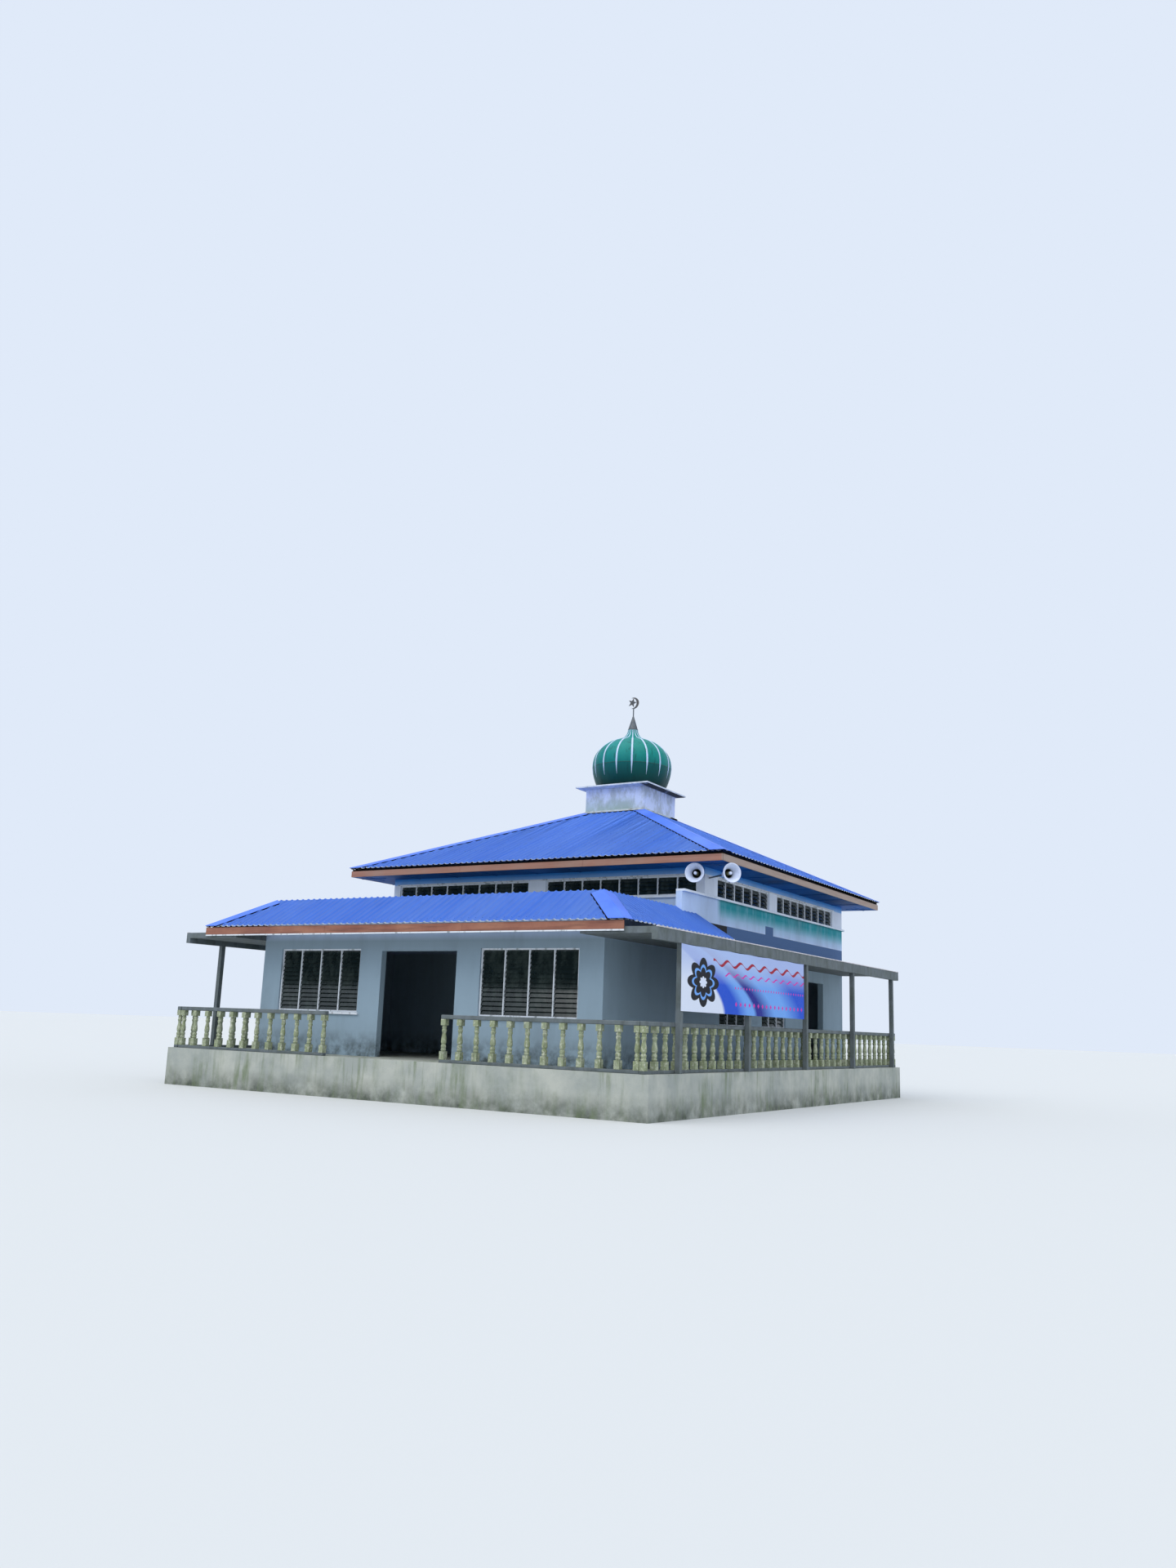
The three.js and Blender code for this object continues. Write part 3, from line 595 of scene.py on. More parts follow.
# Bitumen brushed on the packers, and run along the caps' edges as a sealant: dead black and matt.
# On the packers and along the caps it is painted shadow, standing for the shade in those gaps.
bitumen_and_shadow, tree, shader, place = new_material("bitumen_and_painted_shadow", roughness=0.9)
coats(tree, shader, SHADOW_BITUMEN_BLACK, (blotches(tree, place, 200, 0.6), BITUMEN_BROWN))
shader.inputs["Specular IOR Level"].default_value = 0.1
shadow_packers = bmesh.new()
for quarter in range(4):
    near = fascia_low.y + FASCIA_THICK
    low = (near, near, fascia_high.z - EAVE_GAP - PACKER)
    high = (-near - PACKER, near + PACKER, fascia_high.z - PACKER_DROP)
    add_board(shadow_packers, low, high, Matrix.Rotation(quarter * math.pi / 2, 4, "Z"), PACKER_ROUNDING)
finished("eave_shadow_packers", shadow_packers, bitumen_and_shadow, "fascia")


# Main roof sheets
# Ribbed steel sheet, roll formed with a trapezoid rib every 171 mm and factory painted blue, laid
# down each slope and screwed through the ribs. Each sheet covers four ribs and has faded alone, which
# shows where one laps the next. The cut ends are bare at the eave, and the backs are near black: a
# dark backing coat, deepened as painted shade.
RIB_PITCH = 0.171
RIB_HEIGHT = 0.02
RIB_TOP = 0.026
RIB_FOOT = 0.09
SHEET_THICK = 0.002
SHEET_COVER = 4 * RIB_PITCH
PLATE = 0.04
HIP_GAP = 0.004
SLIVER = 0.0001
CUT_END = (0.036, 0.028)
FACES_DOWN = (-0.2, -0.5)
DOWN_SLOPE = (1.0, 0.1, 1.0)
ROOF_BLUE = "#588EFF"
ROOF_FADED = "#7CA6FF"
ROOF_DEEP = "#4A7EFA"
ROOF_DIRT = "#46609C"
CUT_EDGE = "#C9D6E6"
BACKING_AND_SHADE_BLACK = "#0C0F14"


def rib_profile(start, end, kinks=()):
    """(place, drop) points across a sheet: drop is 0 on the ribs and the rib height in the pans."""
    corners = []
    for i in range(math.floor(start / RIB_PITCH) - 1, math.ceil(end / RIB_PITCH) + 2):
        middle = i * RIB_PITCH
        half_top, half_foot = RIB_TOP / 2, RIB_FOOT / 2
        corners += [(middle - half_foot, RIB_HEIGHT), (middle - half_top, 0.0)]
        corners += [(middle + half_top, 0.0), (middle + half_foot, RIB_HEIGHT)]

    def drop_at(u):
        for (u0, d0), (u1, d1) in zip(corners, corners[1:]):
            if u0 <= u <= u1:
                return d0 + (d1 - d0) * (u - u0) / (u1 - u0)
        return RIB_HEIGHT

    inside = [(u, d) for u, d in corners if start < u < end]
    extra = [(u, drop_at(u)) for u in (start, end, *kinks)]
    return sorted(set(inside + extra))


def ribbed_sheet(space, start, end, run, rise, kinks=()):
    """Sheeting on one slope. In its own space x runs along the eave and y in from it, both level;
    run gives how far in the sheet goes at each x. The UV map holds x and y in metres."""
    mesh = bmesh.new()
    rows = []
    for u, drop in rib_profile(start, end, kinks):
        reach = run(u)
        if reach > SLIVER:
            low = mesh.verts.new((u, 0, -drop))
            rows.append((low, mesh.verts.new((u, reach, reach * rise - drop))))
    for (a, b), (c, d) in zip(rows, rows[1:]):
        mesh.faces.new((a, c, d, b))
    # The faces have no normals yet, so this doubles them in place and gives the sheet no thickness.
    bmesh.ops.solidify(mesh, geom=mesh.faces[:], thickness=SHEET_THICK)
    bmesh.ops.recalc_face_normals(mesh, faces=mesh.faces[:])
    uv = mesh.loops.layers.uv.new("slope")
    for face in mesh.faces:
        for loop in face.loops:
            loop[uv].uv = loop.vert.co.x, loop.vert.co.y
    bmesh.ops.transform(mesh, matrix=space, verts=mesh.verts[:])
    return mesh


# Baked polyester paint on steel: a bright even blue with a low shine, faded in streaks down the slope.
roof_paint, tree, shader, _ = new_material("blue_paint_on_steel_sheet", roughness=0.42)
on_slope = add_node(tree, "ShaderNodeUVMap", uv_map="slope").outputs[0]
across = add_node(tree, "ShaderNodeSeparateXYZ", {0: on_slope}).outputs["X"]
sheet_number = add_node(tree, "ShaderNodeMath", {0: across, 1: SHEET_COVER}, operation="DIVIDE").outputs[0]
sheet_number = add_node(tree, "ShaderNodeMath", {0: sheet_number}, operation="FLOOR").outputs[0]
sheet_tint = add_node(tree, "ShaderNodeTexWhiteNoise", {"W": sheet_number}, noise_dimensions="1D").outputs[0]
faded = add_node(tree, "ShaderNodeMapRange", {"Value": sheet_tint, "To Max": 0.35}).outputs[0]
facing = add_node(tree, "ShaderNodeNewGeometry").outputs["Normal"]
sheet_back_shade = along_axis(tree, facing, "Z", *FACES_DOWN)
coats(
    tree, shader, ROOF_BLUE,
    (faded, ROOF_FADED),
    (blotches(tree, on_slope, 1800, 0.52, soft=0.2, most=0.45), ROOF_DEEP),
    (blotches(tree, on_slope, 240, 0.55, soft=0.15, stretch=DOWN_SLOPE, most=0.4), ROOF_FADED),
    (blotches(tree, on_slope, 60, 0.68, soft=0.05, stretch=DOWN_SLOPE, most=0.4), ROOF_DIRT),
    (along_axis(tree, on_slope, "Y", *CUT_END), CUT_EDGE),
    # Painted shade: the sheets' backs, seen from below, are painted near black.
    (sheet_back_shade, BACKING_AND_SHADE_BLACK),
)
roughened(tree, shader, on_slope, grain_mm=500, depth_mm=0.4)
shader.inputs["Specular IOR Level"].default_value = 0.12

slope_low, slope_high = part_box("front_roof_slope")
EAVE = slope_high.x
roof_run = slope_high.y - slope_low.y
ROOF_RISE = (slope_high.z - slope_low.z - PLATE) / roof_run
drum_half = -slope_high.y
eave_level = slope_low.z + PLATE
for quarter, side in enumerate(SIDES):
    turn = Matrix.Rotation(quarter * math.pi / 2, 4, "Z")
    space = turn @ Matrix.Translation((0, slope_low.y, eave_level))
    kinks = (-drum_half, drum_half)
    sheet = ribbed_sheet(
        space, -EAVE, EAVE, lambda u: min(roof_run, EAVE - abs(u) - HIP_GAP), ROOF_RISE, kinks
    )
    finished(f"{side}_roof_sheets", sheet, roof_paint, "roof_sheet", f"{side}_roof_slope")


# Hip caps and flashings
# Folded steel strips in the sheets' blue, painted a darker blue here as painted shade, over the four
# hips and the two hips of the porch roof, sitting on the rib tops with black sealant along their edges
# and down into the pans, and a pale apron round the drum's foot, sealed the same way, with a lump of
# sealant at its back right corner. The black sealant along the caps' and the apron's edges is painted
# shadow, put where those gaps are in shade.
CAP_WING = 0.24
CAP_TOP = 0.008
CAP_UNDERSIDE = 0.004
CAP_CREST = 0.0128
CAP_FOLD = 0.02
CAP_LIP = 0.003
APRON_GAP = 0.002
APRON_UP = 0.035
APRON_DOWN = 0.06
APRON_THICK = 0.006
APRON_LIFT = 0.001
APRON_ROUNDING = 0.002
LUMP_INSIDE = (0.05, 0.28, 0.06)
LUMP_OUTSIDE = (0.07, 0.06, 0.025)
LUMP_ROUNDING = 0.02
APRON_PALE = "#BCC6CC"
APRON_GRIME = "#8E8F86"
CAP_BLUE_DARKENED = "#3562D0"
CAP_SECTION = (
    (-1, CAP_WING, -CAP_LIP), (-1, CAP_WING, CAP_TOP), (-1, CAP_FOLD, CAP_TOP), (1, 0.0, CAP_CREST),
    (1, CAP_FOLD, CAP_TOP), (1, CAP_WING, CAP_TOP), (1, CAP_WING, -CAP_LIP),
    (1, CAP_WING - CAP_LIP, -CAP_LIP), (1, CAP_WING - CAP_LIP, CAP_UNDERSIDE), (1, 0.0, CAP_UNDERSIDE),
    (-1, CAP_WING - CAP_LIP, CAP_UNDERSIDE), (-1, CAP_WING - CAP_LIP, -CAP_LIP),
)
# The black sealant strips are painted shadow: they stand for the shade under the caps' edges.
SEALANT_SHOWS = 0.014
SEALANT_LAP = 0.02
SEALANT_LIFT = 0.0015
SEALANT_SECTION = (
    (CAP_WING + SEALANT_SHOWS, SEALANT_LIFT), (CAP_WING + SEALANT_SHOWS, -RIB_HEIGHT),
    (CAP_WING - SEALANT_LAP, -RIB_HEIGHT), (CAP_WING - SEALANT_LAP, SEALANT_LIFT),
)

# The sheets' paint on folded steel, laid thicker: a little more shine, and a darker blue than the
# sheets', which is painted shade to match the shade between their ribs.
cap_paint, tree, shader, place = new_material("blue_paint_on_folded_steel", roughness=0.42)
shader.inputs["Specular IOR Level"].default_value = 0.25
coats(
    tree, shader, CAP_BLUE_DARKENED,
    (blotches(tree, place, 900, 0.5, soft=0.2, most=0.3), ROOF_FADED),
    (blotches(tree, place, 700, 0.52, soft=0.2, most=0.4), ROOF_DEEP),
    (blotches(tree, place, 90, 0.68, soft=0.06, most=0.5), ROOF_DIRT),
)
roughened(tree, shader, place, grain_mm=120, depth_mm=0.3)


def hip_strip(low, high, rise, section):
    """A strip along a hip between two points, cut off in line with both eaves. Its section is a list
    of side, distance from the hip, and height over slopes of that rise."""
    mesh = bmesh.new()
    along = (high - low).normalized()
    sideways = Vector((0, 0, 1)).cross(along).normalized()
    outward = along.cross(sideways).normalized()
    fall = rise / math.sqrt(2) * outward.z
    outline = [(side * width, lift - width * fall) for side, width, lift in section]
    rings = [[mesh.verts.new(end + sideways * u + outward * v) for u, v in outline] for end in (low, high)]
    for i in range(len(outline)):
        j = (i + 1) % len(outline)
        mesh.faces.new((rings[0][i], rings[0][j], rings[1][j], rings[1][i]))
    for ring in rings:
        mesh.faces.new(ring)
    for way in ((math.copysign(1.0, low.x), 0, 0), (0, -1, 0)):
        everything = mesh.verts[:] + mesh.edges[:] + mesh.faces[:]
        bmesh.ops.bisect_plane(mesh, geom=everything, plane_co=low, plane_no=way, clear_outer=True)
        bmesh.ops.holes_fill(mesh, edges=[edge for edge in mesh.edges if edge.is_boundary])
    bmesh.ops.recalc_face_normals(mesh, faces=mesh.faces[:])
    return mesh


def finish_hip(name, low, high, rise, turn, *stands_for):
    """A hip's folded cap, and the black sealant along its edges, which is painted shadow under them."""
    cap = hip_strip(low, high, rise, CAP_SECTION)
    shadow_beads = bmesh.new()
    for side in (-1, 1):
        bead = hip_strip(low, high, rise, [(side, width, lift) for width, lift in SEALANT_SECTION])
        spare = bpy.data.meshes.new("bead")
        bead.to_mesh(spare)
        shadow_beads.from_mesh(spare)
    for shape in (cap, shadow_beads):
        bmesh.ops.transform(shape, matrix=turn, verts=shape.verts[:])
    finished(name + "_fold", cap, cap_paint, "hip_cap", *stands_for)
    finished(name + "_shadow_sealant", shadow_beads, bitumen_and_shadow, "hip_cap")


for quarter, side in enumerate(SIDES):
    low = Vector((EAVE, -EAVE, eave_level))
    reach = EAVE - drum_half - CAP_TOP
    high = low + Vector((-reach, reach, reach * ROOF_RISE))
    name = f"{side}_{SIDES[(quarter + 1) % 4]}_hip_cap"
    finish_hip(name, low, high, ROOF_RISE, Matrix.Rotation(quarter * math.pi / 2, 4, "Z"), name)

# Thin paint over beaten zinc: pale and soft, with grime where water stands.
pale, tree, shader, place = new_material("pale_paint_on_zinc", roughness=0.6)
coats(
    tree, shader, APRON_PALE,
    (blotches(tree, place, 150, 0.58, soft=0.1), APRON_GRIME),
)
roughened(tree, shader, place, grain_mm=30, depth_mm=1)
apron = bmesh.new()
sealant = bmesh.new()
apron_level = eave_level + roof_run * ROOF_RISE
for quarter in range(4):
    turn = Matrix.Rotation(quarter * math.pi / 2, 4, "Z")
    inner = drum_half + APRON_GAP
    flat = inner + APRON_THICK
    ends = (-flat, -flat, apron_level), (flat - APRON_THICK, -inner, apron_level + APRON_UP)
    add_board(apron, *ends, turn, APRON_ROUNDING)
    skirt = bmesh.ops.create_cube(apron, size=1.0)["verts"]
    for vert in skirt:
        upper = vert.co.y > 0
        half = flat if upper else flat + APRON_DOWN
        drop = 0 if upper else APRON_DOWN * ROOF_RISE
        lift = APRON_THICK if vert.co.z > 0 else APRON_LIFT
        vert.co = turn @ Vector((math.copysign(half, vert.co.x), -half, apron_level - drop + lift))
    # The bead under the apron's edge is black as painted shadow at the apron's foot.
    bead = bmesh.ops.create_cube(sealant, size=1.0)["verts"]
    for vert in bead:
        past = APRON_DOWN - SEALANT_LAP if vert.co.y > 0 else APRON_DOWN + SEALANT_SHOWS
        lift = SEALANT_LIFT if vert.co.z > 0 else -RIB_HEIGHT
        half = flat + past
        drop = past * ROOF_RISE
        vert.co = turn @ Vector((math.copysign(half, vert.co.x), -half, apron_level - drop + lift))
for shape, name, surface in ((apron, "drum_apron", pale), (sealant, "apron_shadow_sealant", bitumen_and_shadow)):
    bmesh.ops.recalc_face_normals(shape, faces=shape.faces[:])
    finished(name, shape, surface, "drum")
lump = bmesh.new()
drum_corner = Vector((drum_half, drum_half, apron_level))
lump_ends = drum_corner - Vector(LUMP_INSIDE), drum_corner + Vector(LUMP_OUTSIDE)
add_board(lump, *lump_ends, rounding=LUMP_ROUNDING)
finished("sealant_lump", lump, bitumen_and_shadow, "drum")


# Roofing screws
# Hexagon heads in the sheets' blue on round washers, driven through every rib where it crosses one of
# the purlins, which lie level under the sheets. A few have begun to rust.
PURLIN_PITCH = 0.92
FIRST_PURLIN = 0.12
CLEAR_OF_CAP = 0.1
CLEAR_OF_EDGE = 0.08
SCREW_HEAD = 0.007
SCREW_HEIGHT = 0.009
WASHER = 0.013
WASHER_THICK = 0.003
WASHER_SIDES = 10
SCREW_BLUE = "#4F84EE"
SCREW_RUST = "#4A3B38"

# Powder coat on screw steel: the sheets' blue, a little duller, and brown where it has chipped.
steel, tree, shader, place = new_material("painted_screw_steel", roughness=0.5)
coats(tree, shader, SCREW_BLUE, (blotches(tree, place, 300, 0.66, soft=0.06), SCREW_RUST))

screws, given = growing_tree("screw_row", ("Head", "Height", "Washer", "Washer thickness"))
head = {"Vertices": 6, "Radius": given["Head"], "Depth": given["Height"]}
head = add_node(screws, "GeometryNodeMeshCylinder", head).outputs["Mesh"]
half_up = add_node(screws, "ShaderNodeMath", {0: given["Height"], 1: 0.5}, operation="MULTIPLY").outputs[0]
lift = add_node(screws, "ShaderNodeCombineXYZ", {2: half_up}).outputs[0]
head = add_node(screws, "GeometryNodeTransform", {"Geometry": head, "Translation": lift}).outputs[0]
disc = {"Vertices": WASHER_SIDES, "Radius": given["Washer"], "Depth": given["Washer thickness"]}
disc = add_node(screws, "GeometryNodeMeshCylinder", disc).outputs["Mesh"]
whole = add_node(screws, "GeometryNodeJoinGeometry")
screws.links.new(head, whole.inputs[0])
screws.links.new(disc, whole.inputs[0])
facing = add_node(screws, "GeometryNodeInputNamedAttribute", {"Name": "facing"}, data_type="FLOAT_VECTOR")
aim = add_node(screws, "FunctionNodeAlignRotationToVector", {"Vector": facing.outputs[0]}, axis="Z")
driven = {"Points": given["Points"], "Instance": whole.outputs[0], "Rotation": aim.outputs[0]}
ends_in(screws, add_node(screws, "GeometryNodeInstanceOnPoints", driven).outputs[0], steel)


def screw_points(space, start, end, run, rise):
    """Places and directions of the screws in one slope's ribs."""
    places, directions = [], []
    normal = (space.to_3x3() @ Vector((0, -rise, 1))).normalized()
    for i in range(math.ceil(start / RIB_PITCH), math.floor(end / RIB_PITCH) + 1):
        u, up = i * RIB_PITCH, FIRST_PURLIN
        while up < run(u) - CLEAR_OF_EDGE:
            places.append(space @ Vector((u, up, up * rise)))
            directions.append(normal)
            up += PURLIN_PITCH
    return places, directions


places, directions = [], []
for quarter in range(4):
    turn = Matrix.Rotation(quarter * math.pi / 2, 4, "Z")
    space = turn @ Matrix.Translation((0, slope_low.y, eave_level))
    more_places, more_directions = screw_points(
        space, -EAVE, EAVE, lambda u: min(roof_run, EAVE - abs(u)) - CLEAR_OF_CAP, ROOF_RISE
    )
    places += more_places
    directions += more_directions
screw_sizes = {"Head": SCREW_HEAD, "Height": SCREW_HEIGHT, "Washer": WASHER, "Washer thickness": WASHER_THICK}
screw_mesh = grown("roof_screws", screws, places, screw_sizes, facing=directions)
finished("roof_screws", screw_mesh, steel, "roof_sheet")


# Drum
# A square upstand of plastered brick between the roof and the dome, once painted pale lavender:
# the paint has worn through to grey plaster, with green algae low down and dark runs from the slab.
DRUM_PAINT = "#CEDAF6"
DRUM_PLASTER = "#9FAAB0"
DRUM_ALGAE = "#8CA69A"
DRUM_RUN = "#6E7882"
ALGAE_HEAD = 0.2
ALGAE_REACH = 0.5
RUN_LENGTH = 0.3
drum_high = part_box("drum")[1]

# Emulsion worn off sandy plaster: chalky and patchy, without any shine.
drum_finish, tree, shader, place = new_material("worn_lavender_emulsion", roughness=0.85)
lower_part = along_axis(tree, place, "Z", drum_high.z - ALGAE_HEAD, apron_level, most=0.85)
lower_part = along_axis(tree, place, "X", drum_high.x, drum_high.x - ALGAE_REACH, within=lower_part)
top_part = along_axis(tree, place, "Z", drum_high.z - RUN_LENGTH, drum_high.z)
top_run = blotches(tree, place, 150, 0.57, soft=0.1, stretch=(1.0, 1.0, 0.2), most=0.45, within=top_part)
coats(
    tree, shader, DRUM_PAINT,
    (blotches(tree, place, 260, 0.5, soft=0.07, stretch=(1.0, 1.0, 0.6), most=0.7), DRUM_PLASTER),
    (blotches(tree, place, 420, 0.38, soft=0.12, stretch=(1.0, 1.0, 0.7), within=lower_part), DRUM_ALGAE),
    (top_run, DRUM_RUN),
    (blotches(tree, place, 45, 0.64, soft=0.04, most=0.5), DRUM_PLASTER),
)
roughened(tree, shader, place, grain_mm=30, depth_mm=3)
dress(drum_finish, "drum", "drum")


# Drum slab
# A thin cast slab over the drum with an oversailing edge, its underside tapered, and its top washed
# pale. Out past the drum's right face the underside is painted black, which is painted shade.
SLAB_EDGE = 0.042
SLAB_TAPER = 0.16
SLAB_ROUNDING = 0.008
SHADE_SIDE_FADE = 0.05
SLAB_PALE = "#CCD5E4"
SLAB_GREY = "#9AA5AC"
SLAB_SPOT = "#6C7674"
SLAB_UNDERSIDE_SHADE = "#2A2E2C"
slab_low, slab_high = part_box("drum_slab")

# Limewash on cast concrete: nearly white and quite matt, with grey clouds and small dark spots.
slab_finish, tree, shader, place = new_material("limewashed_concrete_slab", roughness=0.8)
facing = add_node(tree, "ShaderNodeNewGeometry").outputs["Normal"]
# Painted shade: the underside out past the drum's right face goes black.
shaded_underside = along_axis(tree, facing, "Z", *FACES_DOWN)
shade_side = drum_high.x - SHADE_SIDE_FADE, drum_high.x + SHADE_SIDE_FADE
shaded_underside = along_axis(tree, place, "X", *shade_side, within=shaded_underside)
coats(
    tree, shader, SLAB_PALE,
    (blotches(tree, place, 300, 0.54, soft=0.1, most=0.5), SLAB_GREY),
    (blotches(tree, place, 70, 0.64, soft=0.06, most=0.6), SLAB_SPOT),
    (blotches(tree, place, 500, 0.35, soft=0.1, within=shaded_underside), SLAB_UNDERSIDE_SHADE),
)
roughened(tree, shader, place, grain_mm=25, depth_mm=2)
slab = bmesh.new()
rings = []
for half, level in (
    (slab_high.x - SLAB_TAPER, slab_low.z), (slab_high.x, slab_high.z - SLAB_EDGE),
    (slab_high.x, slab_high.z - SLAB_ROUNDING), (slab_high.x - SLAB_ROUNDING, slab_high.z),
):
    rings.append([slab.verts.new((x * half, y * half, level)) for x, y in square_corners])
for lower, upper in zip(rings, rings[1:]):
    for i in range(4):
        slab.faces.new((lower[i], lower[(i + 1) % 4], upper[(i + 1) % 4], upper[i]))
slab.faces.new(rings[0])
slab.faces.new(rings[-1])
bmesh.ops.recalc_face_normals(slab, faces=slab.faces[:])
finished("drum_slab_cast", slab, slab_finish, "slab", "drum_slab")


# Dome
# An onion dome of sixteen moulded glass-fibre gores in green gelcoat, joined under raised white
# strips, with a dark sealed seam all round where the upper and lower mouldings meet. The lower
# mouldings are painted darker than the upper, and darker still towards the foot: painted shade
# under the dome's bulge.
DOME_FOOT = slab_high.z
DOME_OUTLINE = (
    (0.900, 0.0), (1.010, 0.2), (1.082, 0.45), (1.100, 0.7), (1.060, 0.93), (0.962, 1.105),
    (0.830, 1.24), (0.660, 1.36), (0.450, 1.445), (0.280, 1.52), (0.175, 1.64), (0.137, 1.76),
)
GORES = 16
GORE_TURN = math.radians(6.5)
GORE_FACETS = 10
GORE_SWELL = 0.008
OUTLINE_STEPS = 5
DOME_SHELL = 0.02
SEAM_LEVEL = 8.68
SEAM_STEP = 0.004
SEAM_BEAD = 0.01
DOME_GREEN = "#03605C"
DOME_GREEN_LIT_ABOVE_SEAM = "#148E84"
DOME_TEAL = "#04828C"
DOME_SHADE_AND_STREAKS = "#00282A"
SHADED_HEAD = 0.85
SHADED_FOOT = 0.05
SEAM_FADE = 0.01
SEAM_BLACK = "#042426"
SEAM_GREEN = "#1F5A49"
STRIP_WHITE = "#BCD0EC"
STRIP_GREY = "#8FA0A8"
STRIP_SHADED = "#5F7F80"
STRIP_HALF = 0.026
STRIP_END = 0.29
STRIP_TIP = 0.4
STRIP_TIP_SHARE = 0.12
STRIP_NECK_SHARE = 0.3
STRIP_SHADE_HEAD = 0.6
STRIP_STANDS = 0.003
STRIP_FLATNESS = 0.5
STRIP_SIDES = 8


def smooth_line(points, steps):
    """Points on a smooth curve that passes through the given ones."""
    line = []
    for i in range(len(points) - 1):
        near_by = [points[min(max(i + k, 0), len(points) - 1)] for k in (-1, 0, 1, 2)]
        before, start, end, after = (Vector(point) for point in near_by)
        for k in range(steps):
            t = k / steps
            line.append(0.5 * (
                2 * start + (end - before) * t + (2 * before - 5 * start + 4 * end - after) * t ** 2
                + (3 * start - before - 3 * end + after) * t ** 3
            ))
    return line + [Vector(points[-1])]


def turned(profile, sides, swell=lambda angle: 0.0):
    """A closed solid turned about Z from (radius, level) points; an open profile closes on itself.
    swell adds to the radius at each angle."""
    mesh = bmesh.new()
    rings = []
    for radius, level in profile:
        if radius < SLIVER:
            rings.append([mesh.verts.new((0, 0, level))] * sides)
            continue
        ring = []
        for i in range(sides):
            angle = 2 * math.pi * i / sides
            r = radius + swell(angle)
            ring.append(mesh.verts.new((r * math.cos(angle), r * math.sin(angle), level)))
        rings.append(ring)
    pairs = list(zip(rings, rings[1:]))
    if profile[0][0] > SLIVER:
        pairs.append((rings[-1], rings[0]))
    for lower, upper in pairs:
        for i in range(sides):
            j = (i + 1) % sides
            corners = list(dict.fromkeys((lower[i], lower[j], upper[j], upper[i])))
            if len(corners) > 2:
                mesh.faces.new(corners)
    bmesh.ops.recalc_face_normals(mesh, faces=mesh.faces[:])
    return mesh


# Pigmented resin out of a polished mould, weathered: a soft broad shine, each gore a shade of its own.
gelcoat, tree, shader, place = new_material("green_gelcoat_on_glass_fibre", roughness=0.42)
shader.inputs["Specular IOR Level"].default_value = 0.15
axes = add_node(tree, "ShaderNodeSeparateXYZ", {0: place}).outputs
angle = add_node(tree, "ShaderNodeMath", {0: axes["Y"], 1: axes["X"]}, operation="ARCTAN2").outputs[0]
gore_number = {0: angle, 1: GORES / (2 * math.pi), 2: -GORE_TURN * GORES / (2 * math.pi)}
gore_number = add_node(tree, "ShaderNodeMath", gore_number, operation="MULTIPLY_ADD").outputs[0]
gore_number = add_node(tree, "ShaderNodeMath", {0: gore_number}, operation="FLOOR").outputs[0]
gore_tint = add_node(tree, "ShaderNodeTexWhiteNoise", {"W": gore_number}, noise_dimensions="1D").outputs[0]
gore_tint = add_node(tree, "ShaderNodeMapRange", {"Value": gore_tint, "To Max": 0.6}).outputs[0]
# Painted shade: lighter above the seam, and near black towards the foot; thin dark streaks use the same dark.
lighter_upper_half = along_axis(tree, place, "Z", SEAM_LEVEL - SEAM_FADE, SEAM_LEVEL + SEAM_FADE, most=0.8)
coats(
    tree, shader, DOME_GREEN,
    (lighter_upper_half, DOME_GREEN_LIT_ABOVE_SEAM),
    (gore_tint, DOME_TEAL),
    (blotches(tree, place, 350, 0.5, soft=0.2, stretch=(1.0, 1.0, 0.5), most=0.4), DOME_GREEN),
    (along_axis(tree, place, "Z", DOME_FOOT + SHADED_HEAD, DOME_FOOT + SHADED_FOOT, most=0.95), DOME_SHADE_AND_STREAKS),
    (blotches(tree, place, 120, 0.62, soft=0.08, stretch=(1.0, 1.0, 0.2), most=0.5), DOME_SHADE_AND_STREAKS),
)
roughened(tree, shader, place, grain_mm=150, depth_mm=1.2)
outline = smooth_line(DOME_OUTLINE, OUTLINE_STEPS)
seam_at = SEAM_LEVEL - DOME_FOOT
skin = [(r + (SEAM_STEP if z > seam_at else 0.0), DOME_FOOT + z) for r, z in outline]
lining_line = [(r - DOME_SHELL, level) for r, level in reversed(skin)]


def gore_swell(angle):
    """Each gore is a little fuller between its joints."""
    share = ((angle - GORE_TURN) * GORES / (2 * math.pi)) % 1.0
    return GORE_SWELL * (math.sin(math.pi * share) - 1.0)


dome = turned(skin + lining_line, GORES * GORE_FACETS, gore_swell)
finished("dome_gores", dome, gelcoat, "dome", "dome", smooth=True)

# Gunned sealant, gone hard: a dull dark bead with the green smeared over it in places.
putty, tree, shader, place = new_material("dark_polyurethane_shadow_sealant", roughness=0.6)
coats(tree, shader, SEAM_BLACK, (blotches(tree, place, 80, 0.5), SEAM_GREEN))
seam_radius = min(skin, key=lambda p: abs(p[1] - SEAM_LEVEL))[0]
bead = [
    (seam_radius - SEAM_BEAD / 2 + SEAM_BEAD * math.cos(t), SEAM_LEVEL + SEAM_BEAD * math.sin(t))
    for t in (math.pi * k / 4 for k in range(8))
]
finished("dome_seam", turned(bead, GORES * GORE_FACETS, gore_swell), putty, "dome", smooth=True)

